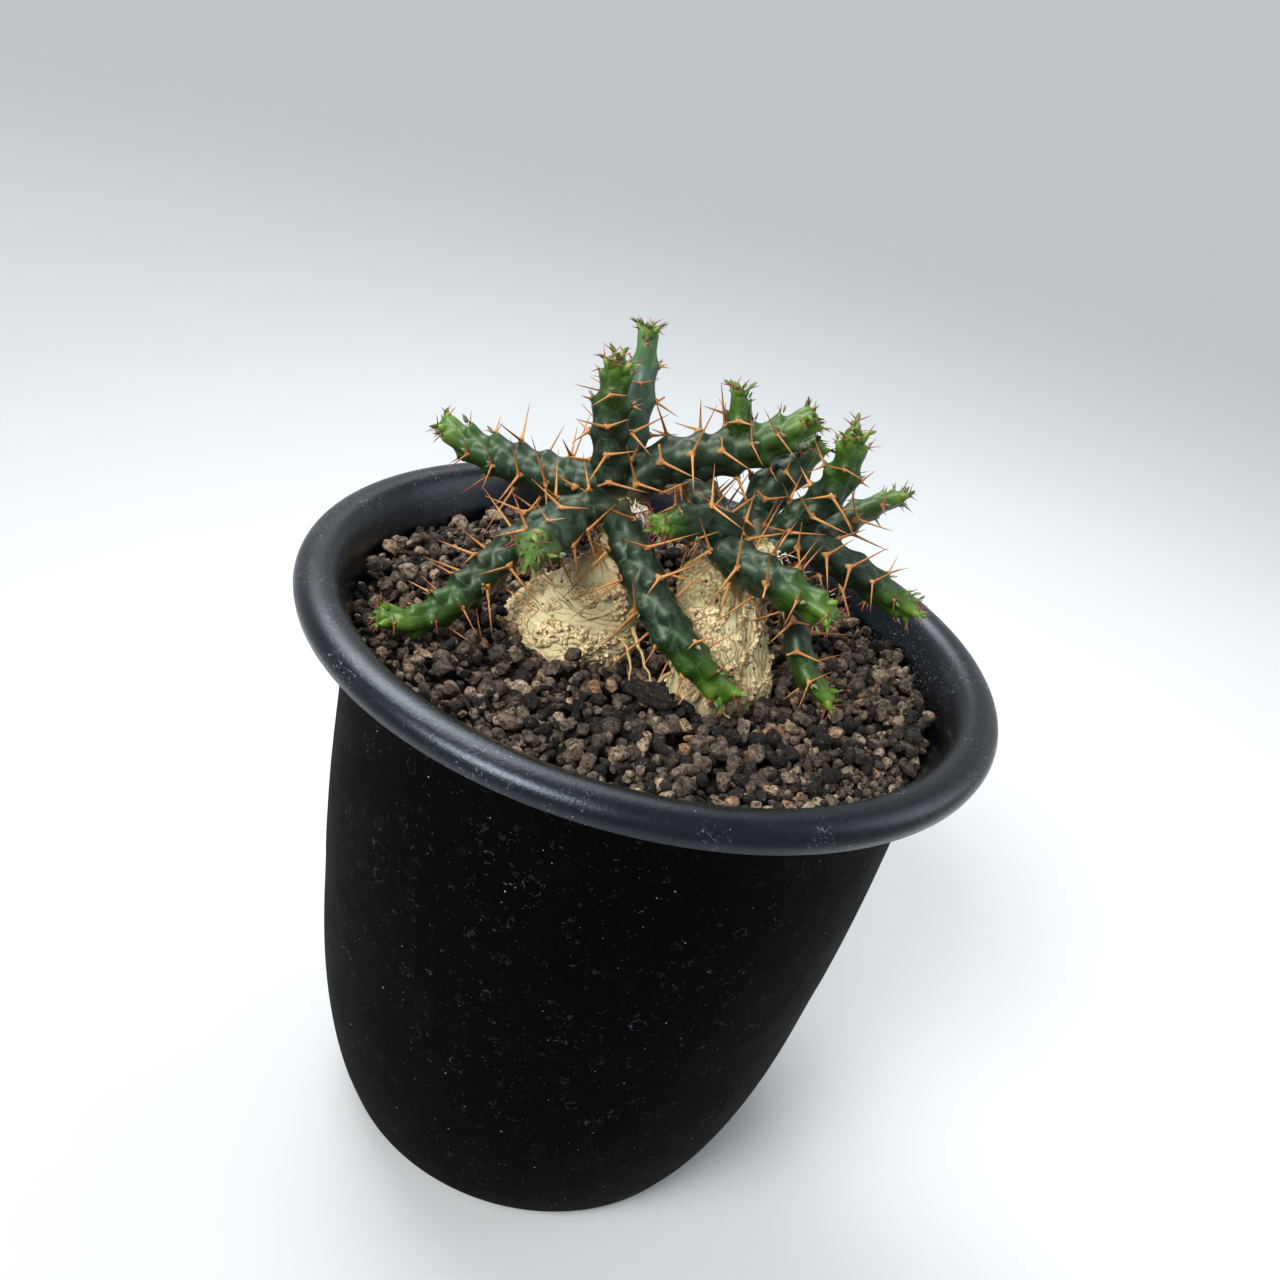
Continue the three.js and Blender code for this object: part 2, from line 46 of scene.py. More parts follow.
# Pot, as in the part's source: [radius, height] from the foot to under the rim, the rolled rim,
# and the inner face from the rim down
FOOT_RADIUS = 36.6
FOOT_WIDTH = 4.2
FOOT_RISE = 1.4
FLOOR_TOP = 3.2
POT_HEIGHT = 109.4
POT_SIDES = 192
SLOT_COUNT = 8
SLOT_SIZE = (11, 3, 8)
SLOT_REACH = 21
BODY_OUTSIDE = [
    [38.4, 1.6], [39.9, 5], [41.3, 8.5], [43.4, 15.5], [45.5, 25], [47.1, 36], [48.3, 50], [48.9, 55],
    [49.9, 70], [50.3, 86], [50.6, 97],
]
RIM_OUTSIDE = [[51.8, 101.3], [53.6, 105.2], [55.6, 107.2], [57.4, 106.9], [58.5, 105.2]]
RIM_CROWN = [
    [59.6, 105.2], [60, 106.6], [59.3, 108.2], [57.6, 109.2], [55.8, 109.4], [54, 108.8],
    [52.6, 107.1], [51.3, 104.2], [50.2, 101.3],
]
BODY_INSIDE = [[48.9, 96], [48.5, 72], [46.9, 52], [45.5, 36], [41.9, 15.5], [39.2, 7.5]]
RINGS_UNDER_CROWN = 3
POT_CREASE = 38

# Gravel. Grains over COARSE_FROM in radius have more faces. MAP_CELL and MAP_REACH belong to the
# height map on which they are dropped, and stems that come lower than NEAR_BED keep them away.
SOIL_LEVEL = 101.3
BED_TOP = 99.0
BED_SIDES = 96
NEAR_BED = 112
WALL_AT_SOIL = 50.0
GRAIN_COUNT = 6400
GRAIN_SEED = 7
GRAIN_CREASE = 48
COARSE_FROM = 1.24
DROP_TRIES = 16
MAP_CELL = 0.4
MAP_REACH = 52

# Stems
TUBERCLE_PITCH = 5.2
ROOT_SLIM = 0.8
TIP_SLIM = 0.62
TIP_SLOPE = 1.1
TIP_DOME = 0.3
CREST = 1.2
TOOTH_FACE = 0.62
# How far a stem's skin is painted paler as painted sheen, unless the stem gives its own haze
USUAL_PAINTED_SHEEN = 0.15
SPINE_THICK = 0.27
SPINE_SPREAD = 57
SPINE_SEED = 11
PAIRS_GONE = 0.1
SPINES_BROKEN = 0.07
BROKEN_LENGTH = 0.3
RINGS_PER_STEP = 7
SIDES_PER_RIB = 14
# Turns in degrees and shares of the length that a spine tries until it is clear of its neighbours
SPINE_TRIES = ((0, 1), (14, 1), (-18, 1), (30, 1), (8, 0.72), (30, 0.72), (0, 0.5), (34, 0.5), (12, 0.3))

# Rootstocks, as rings from the buried tip up: [height, x, y, radius in x, radius in y]
LEFT_TUBER = [
    [84, -14, -1.6, 5, 5], [90, -14, -1.6, 9.5, 9], [97, -13.8, -1.7, 11.2, 10.2],
    [102, -13.4, -1.8, 11.3, 10.2], [106, -12.6, -1.9, 9.8, 9.4], [110, -11.3, -1.8, 7.4, 7.6],
    [113.4, -10.1, -1.5, 5.7, 6], [116, -9.4, -1, 4.3, 4.8], [119, -9.4, -0.5, 3.6, 3.9],
    [123, -10, -0.2, 3.6, 3.6], [126.6, -10.3, 0, 2.6, 2.6],
]
FRONT_TUBER = [
    [84, 11, -9, 4, 4], [91, 11, -9.5, 5.4, 6.2], [98, 11, -9.8, 6, 6.8], [103, 10.7, -9.4, 6.1, 6.8],
    [108.5, 9.6, -7.8, 6.2, 6.7], [113.5, 8.3, -5.4, 6, 6.3], [117.5, 7.3, -3.2, 5.3, 5.6],
    [120.6, 7.7, -1.4, 4.3, 4.4], [122.4, 8.4, -0.4, 3, 3],
]
RIGHT_TUBER = [
    [83, 15.8, -3, 4, 4], [90, 15.6, -3.2, 6.4, 8], [97, 15.3, -3.6, 7, 9], [102, 14.9, -3.6, 6.9, 9],
    [106, 14.2, -3.2, 6.3, 8.2], [110, 13.4, -2.2, 5.3, 6.8], [114, 12.9, -0.8, 4.6, 5.4],
    [118.6, 13.2, 1.2, 4.1, 4.6], [122, 13.8, 2.4, 3.6, 3.8], [124.6, 14.2, 3, 2.6, 2.6],
]
TUBERS = (LEFT_TUBER, FRONT_TUBER, RIGHT_TUBER)
# Patches of crumbly crust: the middle and the reach of each
CRUSTS = [
    [-21.8, -5.9, 105.1, 3.6], [-16.7, -9.0, 108.3, 1.8], [-17.1, -11.7, 103.9, 3.0],
    [-15.2, -11.2, 105.5, 1.4], [-13.0, -11.3, 105.8, 1.4], [-10.4, -11.1, 106.3, 1.4],
    [-9.6, -8.5, 112.6, 1.8], [-15.2, -3.2, 114.4, 2.4], [-6.9, -9.9, 104.8, 2.0],
    [8.2, -9.8, 117.4, 1.6], [9.8, -11.7, 114.0, 1.6], [13.0, -12.8, 110.3, 1.9],
    [13.7, -10.5, 112.3, 1.5], [20.3, -3.8, 106.0, 2.4], [20.5, -6.7, 104.4, 2.2],
    [6.6, -11.4, 113.2, 1.4], [14.3, -13.1, 107.2, 2.2],
]
ROOTLETS = [
    [[9.4, -14.2, 103.4], [9, -18.4, 103.2]], [[10.9, -14.4, 103.6], [11.6, -19.2, 103]],
    [[12.4, -14, 103.4], [13.6, -17.6, 103.2]],
]
BARK_RIPPLE = 0.035
BURIED_ROWS = 8

# Thin dry things: [x, y, z] from one end to the other
CROWN_THREADS = [
    [[-8.6, -2.4, 126.6], [-7, -4.2, 126.4], [-5.4, -4.8, 125.2], [-4, -5.4, 125.8]],
    [[-8.8, -3, 125.6], [-7.4, -4.6, 125.2], [-6.4, -4.2, 123.4], [-5, -4.6, 122.6]],
    [[-7.4, -2.2, 126.8], [-5.8, -3.4, 127.4], [-4.6, -4.4, 126.6], [-3.4, -4.2, 125.2]],
    [[-9.2, -3.6, 124.8], [-8, -5, 125.8], [-6.2, -5, 126.8], [-5, -4.2, 127.6]],
]
DRY_ROOTS = [
    [[-3.2, -5.5, 106.4], [-1.6, -8.6, 105.2], [0.4, -11.6, 103.2], [2.4, -15, 102.6]],
    [[-4.4, -7.6, 105], [-2.6, -10.6, 103.8], [-1.6, -13.4, 102.8], [-1.4, -16, 102.5]],
    [[4.6, -12.6, 104.2], [3.2, -15.2, 103.2], [3.4, -18, 102.6], [5, -19.6, 102.5]],
    [[9, -16, 103.8], [7.8, -17.8, 103.6], [7.2, -19, 103], [6.6, -19.8, 102.4]],
    [[11.4, -16, 104], [13, -17.8, 103.8], [14.2, -19, 103.2], [15.4, -19.6, 102.6]],
]
# Knobs of woody tissue: middle, radii and seed. Flecks of wool: middle and size. The dark lump:
# middle and radii.
CROWN_KNOBS = [
    ([-7.6, -1.8, 123.4], [2.6, 2.4, 2.7], 4), ([8.6, -1.0, 121.8], [2.4, 2.2, 2.0], 9),
    ([14.6, 1.2, 122.6], [2.4, 2.4, 2.2], 13),
]
WOOL = [
    ([-7.2, -3.6, 125.8], 1.1), ([4.8, -2.6, 122.4], 1.5), ([16.6, 1.0, 123.2], 1.5),
    ([-5.8, -3.4, 124.4], 0.8), ([9.6, -2.4, 123.4], 0.9),
]
WOOL_STRANDS = 26
DARK_LUMP = ([2.8, -20.6, 103.7], [3.8, 2.6, 1.7])
LOOSE_SEED = 23


def grown(name, radius, ribs, spine, young, route, **more):
    """A stem. Its route runs from inside the rootstock's crown to the growing tip, and young is how
    much of it is bright new growth. It may have haze, how far its skin is painted paler as a painted
    sheen, tip, how wide it ends, teeth, how large the teeth at its end are, and shoots of its own."""
    return {"name": name, "radius": radius, "ribs": ribs, "spine": spine, "young": young,
            "route": route, **more}


STEMS = [
    grown("left_high", 3.6, 4, 9.5, 0.3, [
        [-10.4, 0.4, 126], [-13.6, 1.5, 126.8], [-21.5, 4, 124.9], [-31, 7, 124], [-38.4, 9.2, 124.2],
        [-43.4, 10.8, 125.6]], haze=0.2),
    grown("left_low", 3.2, 4, 8.5, 0.3, [
        [-10.4, -0.6, 124.6], [-13, -2, 124.6], [-19.3, -4.4, 121.7], [-25, -8.4, 116.6],
        [-29.4, -13, 110.6], [-33.6, -18, 106.4], [-37.2, -21.8, 105.3], [-40.8, -22.8, 106]]),
    grown("left_front", 3.5, 4, 6.5, 0.2, [
        [-17, -4.6, 122.6], [-18.4, -9, 122.2], [-19.8, -15, 121.2], [-20.6, -20.8, 122.2]],
        tip=0.85, teeth=0.6, haze=0.7),
    grown("upright_front", 3, 4, 7, 0.3, [
        [-11.4, 0, 125], [-12.8, -0.2, 128.6], [-14.4, -0.6, 133.8], [-15.5, -1.2, 139],
        [-15.9, -1.8, 143.8], [-16.4, -2.6, 148.4]]),
    grown("upright_back", 2.5, 4, 8, 0.2, [
        [-10.3, 1.6, 125], [-10.9, 3.8, 129.4], [-11.7, 6, 134.6], [-12.4, 8, 141.6], [-13, 9, 147],
        [-13.6, 10, 151]], haze=0.9),
    grown("right_high", 3.8, 4, 9, 0.36, [
        [-9.4, 1, 126], [-8.2, 2.6, 129.8], [-4.6, 4.4, 132.7], [2.1, 6.6, 134.9], [7.8, 9, 137.4],
        [12.6, 10.8, 140.6], [15.8, 12, 143.6]],
        shoots=[grown("shoot", 2, 3, 4, 0.9, [[5.6, 8.4, 137], [4.4, 8.4, 141.4], [3, 8.2, 145.8]])]),
    grown("front", 3.5, 4, 10, 0.3, [
        [-10.2, -1.4, 123.6], [-8.4, -6, 122.6], [-4.6, -11, 119.6], [-1.2, -14.6, 116.6],
        [2.4, -16.8, 113.8], [6.2, -18, 111], [10.2, -18.2, 108.2], [14, -18, 106]]),
    grown("behind_left", 2.9, 4, 7, 0.25, [
        [-10.6, 1.4, 122.6], [-12.4, 6.4, 122.4], [-14, 13, 119.8], [-15, 20.6, 116.4],
        [-15.2, 27.6, 114.2]]),
    grown("stub", 3.2, 4, 6.5, 0.2, [
        [9.2, 1, 123.6], [6.4, -1, 126], [2.4, -3.2, 126.9], [-0.8, -6.4, 126.8], [-3.2, -8.8, 126.6]]),
    grown("back_left", 3.3, 4, 7, 0.2, [
        [8.8, 1.4, 121.6], [6.6, 6.6, 123], [3, 13, 124], [0.4, 19, 125.4], [-1, 23.6, 127.6]], haze=0.45),
    grown("back_rising", 3.7, 4, 7.5, 0.2, [
        [13.2, 4.4, 122.6], [11.9, 9, 125.6], [13, 11.8, 130], [15.8, 14.6, 134.2], [18.4, 17, 138]]),
    grown("right_rising", 2.9, 4, 7.5, 0.35, [
        [14.8, 3.6, 123], [17.2, 4, 127.8], [20.4, 3.4, 132.6], [22.3, 2.2, 138], [22.4, 1, 142.6],
        [21.8, 0, 146.6]]),
    grown("right_back", 2.5, 3, 7, 0.45, [
        [15.4, 4.4, 121.6], [20.6, 7.6, 123.2], [24.6, 10.6, 125.9], [29.4, 14.4, 129.6],
        [35, 18, 132.6]]),
    grown("right_low", 3.1, 4, 7.5, 0.25, [
        [14.6, 2.4, 121.4], [18.6, 3.8, 125], [23.6, 5.8, 123.8], [31.6, 7.6, 121], [38.4, 8, 117.9],
        [42.2, 8, 117.1]]),
    grown("right_front", 3.3, 4, 9.5, 0.3, [
        [8.4, -0.8, 121.4], [8.2, -4.8, 123.4], [12.6, -9.2, 123.9], [18.8, -12.8, 123.7],
        [25.4, -16.4, 123.3]]),
    grown("drooping", 2.4, 3, 7, 0.35, [
        [15, 0.4, 119.4], [20.8, -3.8, 117.2], [23.2, -6, 112.6], [25.4, -7.8, 109],
        [28.4, -9.2, 106.7], [31, -9.8, 105.5]]),
    grown("behind_right", 2.7, 3, 6.5, 0.25, [
        [14.6, 3.4, 120], [15.6, 11, 119.6], [17.4, 18.6, 117], [19, 25.6, 113.6], [20, 30, 111.8]]),
]

# Studio. The camera stands 28 degrees above the pot and is rolled by 15.6. Lamps: name, place and
# size in metres, power in watts, colour and the beam's angle.
CAMERA_PLACE = (-1.59, -189.81, 202.75)
CAMERA_RIGHT = (0.96328, 0.12630, 0.23692)
CAMERA_UP = (-0.26848, 0.45315, 0.85004)
SENSOR = 36
FOCAL_SHARE = 1250 / 1280
FLOOR_HALF = 40
LIT_POINT = (0, 0, 0.11)
SKY_COLOUR = (0.93, 0.965, 1.0, 1)
SKY_STRENGTH = 0.57
SUN_DIRECTION = (0.5, -0.55, -1.0)
SUN_COLOUR = (1.0, 0.985, 0.96)
SUN_POWER = 1.8
SUN_WIDTH = 34
LAMPS = [
    ("key", (-0.2, 0.3, 0.62), (0.6, 0.45), 2.0, (1.0, 0.99, 0.97), 180),
    ("front", (-0.3, -0.4, 0.52), (0.5, 0.4), 0.92, (1.0, 0.985, 0.955), 42),
    ("side", (0.5, 0.12, 0.4), (0.25, 0.35), 0.6, (0.98, 0.99, 1.0), 180),
]


# Finishes

def paint(colour):
    """Red, green and blue as seen on a screen, 0 to 255 each, as the linear colour that a shader
    takes. A colour that a node makes stays as it is."""
    if isinstance(colour, Wire):
        return colour
    return tuple((channel / 255) ** 2.2 for channel in colour) + (1,)


class Wire:
    """A value in a finish. Sums and products on it add Math nodes."""

    def __init__(self, finish, socket):
        self.finish = finish
        self.socket = socket

    def math(self, operation, *values):
        return self.finish.node("ShaderNodeMath", {"operation": operation}, dict(enumerate(values)))

    def __add__(self, other):
        return self.math("ADD", self, other)

    def __sub__(self, other):
        return self.math("SUBTRACT", self, other)

    def __rsub__(self, other):
        return self.math("SUBTRACT", other, self)

    def __mul__(self, other):
        return self.math("MULTIPLY", self, other)

    def __truediv__(self, other):
        return self.math("DIVIDE", self, other)

    __radd__ = __add__
    __rmul__ = __mul__

    def part(self):
        """What is left of the value after its whole number."""
        return self.math("FRACT", self)

    def size(self):
        """The value without its sign."""
        return self.math("ABSOLUTE", self)

    def between(self, low, high):
        """0 where the value is under low, 1 where it is over high, and a soft step between."""
        inputs = {"Value": self, "From Min": low, "From Max": high, "To Min": 0.0, "To Max": 1.0}
        return self.finish.node("ShaderNodeMapRange", {"interpolation_type": "SMOOTHSTEP"}, inputs)


class Finish:
    """A material of this object, built node by node around one Principled shader."""

    def __init__(self, name, **even):
        self.material = bpy.data.materials.new(name)
        self.material.use_nodes = True
        self.tree = self.material.node_tree
        self.tree.nodes.clear()
        self.shader = self.tree.nodes.new("ShaderNodeBsdfPrincipled")
        output = self.tree.nodes.new("ShaderNodeOutputMaterial")
        self.tree.links.new(self.shader.outputs[0], output.inputs["Surface"])
        for socket, value in even.items():
            self.shader.inputs[socket.replace("_", " ").title().replace("Ior", "IOR")].default_value = value
        place = self.node("ShaderNodeTexCoord", output="Object")
        self.place = self.vector("SCALE", {0: place, "Scale": 1 / MM})

    def node(self, kind, settings=None, inputs=None, output=0):
        """Adds a node with its settings, then the values or links of its inputs."""
        node = self.tree.nodes.new(kind)
        for name, value in (settings or {}).items():
            setattr(node, name, value)
        for name, value in (inputs or {}).items():
            self.join(value, node.inputs[name])
        return Wire(self, node.outputs[output])

    def vector(self, operation, inputs):
        return self.node("ShaderNodeVectorMath", {"operation": operation}, inputs)

    def join(self, value, socket):
        if isinstance(value, Wire):
            self.tree.links.new(value.socket, socket)
        else:
            socket.default_value = value

    def set(self, **varying):
        """Links what changes over the surface to the shader's own sockets."""
        for name, value in varying.items():
            self.join(value, self.shader.inputs[name.replace("_", " ").title()])

    def mix(self, share, first, second, how="MIX"):
        settings = {"data_type": "RGBA", "blend_type": how}
        return self.node("ShaderNodeMix", settings, {0: share, 6: paint(first), 7: paint(second)}, output=2)

    def coats(self, colour, *coats):
        """The colour under several coats, each a share and a colour."""
        for share, over in coats:
            colour = self.mix(share, colour, over)
        return colour

    def field(self, name):
        """A value that the mesh carries at each point."""
        return self.node("ShaderNodeAttribute", {"attribute_name": name}, output="Fac")

    def cloud(self, size, detail=2.0, rough=0.5, warp=0.0, place=None):
        """Noise from 0 to 1 with features about size apart."""
        inputs = {"Vector": place or self.place, "Scale": 1 / size, "Detail": detail, "Roughness": rough,
                  "Distortion": warp}
        return self.node("ShaderNodeTexNoise", None, inputs)

    def cells(self, size, feature="F1", place=None):
        """Distance in a net of irregular cells of about that size."""
        inputs = {"Vector": place or self.place, "Scale": 1 / size}
        return self.node("ShaderNodeTexVoronoi", {"feature": feature}, inputs, output="Distance")

    def moved(self, size, amount):
        """The place on the surface, pushed about by noise."""
        noise = self.node("ShaderNodeTexNoise", None, {"Vector": self.place, "Scale": 1 / size}, output=1)
        centred = self.vector("SUBTRACT", {0: noise, 1: (0.5, 0.5, 0.5)})
        return self.vector("ADD", {0: self.place, 1: self.vector("SCALE", {0: centred, "Scale": amount})})

    def relief(self, height, depth):
        """Joins a height from 0 to 1, depth millimetres high, to the shader's normal."""
        self.set(normal=self.node("ShaderNodeBump", None, {"Height": height, "Distance": depth * MM}))


def lime_specks(finish, apart, patch, growth):
    """Small round specks, larger in some patches than in others."""
    size = finish.cloud(patch, 2).between(0.45, 0.75) * growth + 0.03
    return 1 - (finish.cells(apart) / size).between(0.7, 1.2)


def pot_plastic():
    """The body: black with a brown cast, fine lime specks, water rings and hair scratches."""
    finish = Finish("pot_plastic", specular_ior_level=0.025)
    dust = finish.cloud(9, 4, 0.6)
    grain = finish.cloud(0.35, 3, 0.7)
    speck = lime_specks(finish, 2.4, 7, 0.04)
    fine_speck = (1 - finish.cells(0.8).between(0.07, 0.13)) * finish.cloud(5, 3).between(0.46, 0.6)
    spots = finish.cells(6.5, place=finish.moved(1.3, 2.2)) - finish.cloud(9, 1) * 0.2
    ring = 1 - ((spots - 0.07).size() / 0.013).between(0.3, 1.0)
    ring = ring * finish.cloud(13, 1).between(0.5, 0.6) * finish.cloud(0.8, 2).between(0.38, 0.6)
    scale = finish.cells(3.1, place=finish.moved(1, 1.2)) - finish.cloud(5, 1) * 0.24
    scale = (1 - scale.between(0.02, 0.05)) * finish.cloud(0.5, 3).between(0.4, 0.6)
    hair = finish.cloud(1.4, 2, place=finish.moved(3, 2.2))
    hair = (1 - (hair - 0.5).size().between(0.0, 0.01)) * finish.cloud(2.2, 2).between(0.6, 0.7)
    haze = finish.cloud(3.4, 4, 0.7).between(0.56, 0.72) * finish.cloud(14, 2).between(0.42, 0.62)
    finish.set(roughness=0.55 + 0.22 * dust, base_color=finish.coats(
        finish.mix(dust, (4, 3, 3), (11, 7, 6)),
        (haze * 0.25, (34, 32, 38)),
        (scale * 0.3, (52, 54, 62)),
        (ring * 0.6, (70, 76, 90)),
        (hair * 0.6, (92, 96, 104)),
        (fine_speck * 0.5, (104, 106, 114)),
        (speck * 0.75, (170, 174, 182)),
    ))
    finish.relief(grain * 0.7 + dust * 0.3, 0.06)
    return finish.material


def rim_plastic():
    """The rim and the inside: glossier, with lime powder in patches and along the lip."""
    finish = Finish("rim_plastic", specular_ior_level=0.46, specular_tint=(0.72, 0.85, 1.0, 1))
    dust = finish.cloud(6, 4, 0.65)
    grain = finish.cloud(0.4, 3, 0.7)
    speck = lime_specks(finish, 1.9, 5, 0.06) * finish.cloud(9, 2).between(0.38, 0.54)
    scuff = finish.cloud(1.6, 3, 0.7).between(0.6, 0.78)
    powder = finish.cloud(0.5, 3, 0.8).between(0.58, 0.68) * finish.cloud(10, 2).between(0.5, 0.62)
    finish.set(roughness=0.19 + 0.17 * dust, base_color=finish.coats(
        finish.mix(dust, (3, 4, 6), (8, 10, 15)),
        (grain.between(0.45, 0.8) * 0.2, (34, 40, 50)),
        (scuff * 0.16, (70, 76, 86)),
        (powder * 0.45, (140, 146, 154)),
        (speck * 0.8, (190, 192, 196)),
    ))
    finish.relief(grain * 0.6 + dust * 0.4, 0.08)
    return finish.material


def gravel_grains():
    """Porous stones, each in a shade of its own, with pores darkened by painted shade and pale crumbs."""
    finish = Finish("gravel_grains", specular_ior_level=0.25)
    ramp = finish.node("ShaderNodeValToRGB", None, {0: finish.field("shade")})
    stops = ramp.socket.node.color_ramp
    colours = [
        (0.0, (32, 31, 31)), (0.18, (54, 50, 48)), (0.36, (88, 78, 71)), (0.6, (121, 106, 93)),
        (0.8, (151, 134, 116)), (0.93, (180, 161, 136)), (1.0, (162, 121, 92)),
    ]
    while len(stops.elements) < len(colours):
        stops.elements.new(0.5)
    for element, (place, colour) in zip(stops.elements, colours):
        element.position = place
        element.color = paint(colour)
    pits = finish.cloud(0.9, 4, 0.7)
    # Pores, sunk by the relief and painted near-black: painted shade inside them
    pore_shade = 1 - finish.cells(0.75, place=finish.moved(0.6, 0.5)).between(0.14, 0.36)
    crumbs = finish.cloud(0.45, 2).between(0.62, 0.78)
    finish.set(roughness=0.9 + 0.06 * pits, base_color=finish.coats(
        finish.mix(1.0, ramp, (128, 124, 121), "MULTIPLY"),
        (pits.between(0.35, 0.75), ramp),
        (pore_shade * 0.55, (26, 21, 19)),
        (crumbs * 0.4, (162, 144, 122)),
    ))
    finish.relief(pits - pore_shade * 0.7, 0.5)
    return finish.material


def gravel_bed():
    # The packed gravel is painted near-black: painted shade for the gaps between the loose grains
    finish = Finish("gravel_bed", roughness=1.0, specular_ior_level=0.1)
    finish.set(base_color=finish.mix(finish.cloud(2, 3), (19, 16, 14), (44, 37, 31)))
    finish.relief(finish.cloud(0.8, 3), 0.4)
    return finish.material


def cork_bark():
    """Smooth greenish plates with fine dark lines of painted shade at the foot of each layer's step, and
    pale crumbly crusts where the plates meet, outlined in painted shade.
    """
    finish = Finish("cork_bark", specular_ior_level=0.2)
    crust = finish.field("crust") + (finish.cloud(0.9, 3, 0.6) - 0.5) * 0.3
    fine = finish.cloud(0.5, 5, 0.75)
    layer = finish.field("layer") + (fine - 0.5) * 0.3 + (finish.cloud(1.3, 3) - 0.5) * 0.5
    past = layer.part()
    tone = ((layer - past) * 0.618).part()
    # line: dark at the foot of each layer's step, painted shade under the flake's edge
    line = past.between(0.78, 0.92) * finish.cloud(2, 3).between(0.36, 0.56)
    crumb = finish.cells(0.8, "DISTANCE_TO_EDGE", finish.moved(0.5, 0.6)).between(0.0, 0.07)
    # edge: dark outline at the foot of the raised crust, painted shade
    edge = (1 - ((crust - 0.24).size() / 0.1).between(0.2, 1.0)) * finish.cloud(1.6, 2).between(0.36, 0.54)
    speckle = finish.cloud(0.6, 4, 0.75).between(0.42, 0.62)
    fleck = 1 - finish.cells(1.9, place=finish.moved(0.9, 0.8)).between(0.13, 0.21)
    fleck = fleck * finish.cloud(4, 2).between(0.46, 0.56)
    plate = finish.coats(
        finish.mix(tone, (222, 216, 170), (238, 222, 172)),
        (finish.cloud(4.5, 3, 0.6).between(0.35, 0.65) * 0.6, (232, 206, 158)),
        (fine.between(0.5, 0.66) * 0.35, (248, 236, 192)),
        ((1 - fine.between(0.32, 0.44)) * 0.4, (184, 150, 94)),
        (line * 0.5, (166, 124, 70)),
    )
    crumbly = finish.coats(
        finish.mix(crumb, (170, 108, 58), (255, 228, 172)),
        (fine.between(0.44, 0.62) * 0.6, (255, 242, 206)),
    )
    finish.set(roughness=0.85 + 0.1 * fine, base_color=finish.coats(
        plate,
        (crust.between(0.2, 0.5), crumbly),
        (edge * 0.7, (122, 78, 40)),
        (finish.field("worn") * 0.85, finish.mix(speckle, (112, 92, 58), (190, 180, 130))),
        (fleck * 0.9, (34, 26, 20)),
    ))
    flakes = finish.cells(1.5, "DISTANCE_TO_EDGE", finish.moved(0.7, 0.9)).between(0.0, 0.05)
    rise = crust.between(0.15, 0.6) * (0.3 + 0.35 * crumb) + fine * 0.9 + flakes * 0.1
    finish.relief(rise - line * 0.4 - edge * 0.3 - fleck * 0.4, 0.55)
    return finish.material


def green_skin():
    """Waxy skin: dark in old growth, bright in young, with pale veins and a few small white specks. Haze
    paints some stems paler as painted sheen, and young growth is painted darker between its teeth as painted
    shade.
    """
    finish = Finish("green_skin", specular_ior_level=0.45, specular_tint=(0.78, 1.0, 0.72, 1),
                    coat_roughness=0.3)
    crest = finish.field("crest")
    # The stem's haze share: its skin painted paler towards grey-green, painted sheen
    tint = finish.field("tint")
    pale = tint.between(0.75, 0.95)
    soft = finish.cloud(3.2, 3, 0.55)
    fine = finish.cloud(0.9, 3, 0.6)
    vein = 1 - (finish.field("seam") + 0.5 * (fine - 0.5)).between(0.0, 0.26)
    vein = vein * finish.cloud(3.6, 2).between(0.42, 0.6)
    marble = (finish.cloud(2.8, 2, 0.5, 1.4) - 0.5).size()
    marble = (1 - marble.between(0.0, 0.05)) * finish.cloud(4.4, 2).between(0.42, 0.6)
    blotch = finish.cloud(1.7, 3, 0.6, 0.8).between(0.52, 0.72)
    white_specks = (1 - finish.cells(2.0).between(0.035, 0.06)) * finish.cloud(8, 2).between(0.48, 0.58)
    dark = finish.coats(
        finish.mix(soft, (5, 13, 6), (16, 30, 17)),
        (tint * 0.7, (49, 70, 59)),
        (pale * 0.7, (80, 104, 92)),
        (blotch * 0.2, (49, 71, 51)),
        (vein * 0.4, (82, 108, 82)),
        (marble * 0.26, (86, 112, 87)),
    )
    middle = finish.coats(
        finish.mix(soft, (25, 48, 7), (44, 72, 14)),
        (pale * 0.6, (88, 122, 84)),
        ((vein + marble) * 0.26, (93, 122, 56)),
    )
    # Young skin is painted darker away from the crests: painted shade between the teeth
    fresh = finish.coats(
        finish.mix(soft, (49, 75, 5), (75, 106, 16)),
        (crest.between(0.25, 0.95) * 0.5, (116, 141, 50)),
        ((1 - crest.between(0.0, 0.4)) * 0.45, (28, 54, 5)),
        ((vein + marble) * 0.16, (149, 173, 91)),
        (tint * 0.4, (85, 113, 85)),
    )
    turn = finish.field("youth") + (soft - 0.5) * 0.4
    skin = finish.coats(
        dark,
        (turn.between(0.05, 0.5), middle),
        (turn.between(0.5, 1.0), fresh),
        (finish.field("woody"), (79, 71, 52)),
        (white_specks * 0.8, (184, 191, 189)),
    )
    finish.set(base_color=skin, roughness=0.39 + 0.14 * soft + vein * 0.1, coat_weight=0.03 + 0.09 * turn)
    finish.relief(soft * 0.3 + fine * 0.2 - vein * 0.2 + white_specks * 0.6, 0.1)
    return finish.material


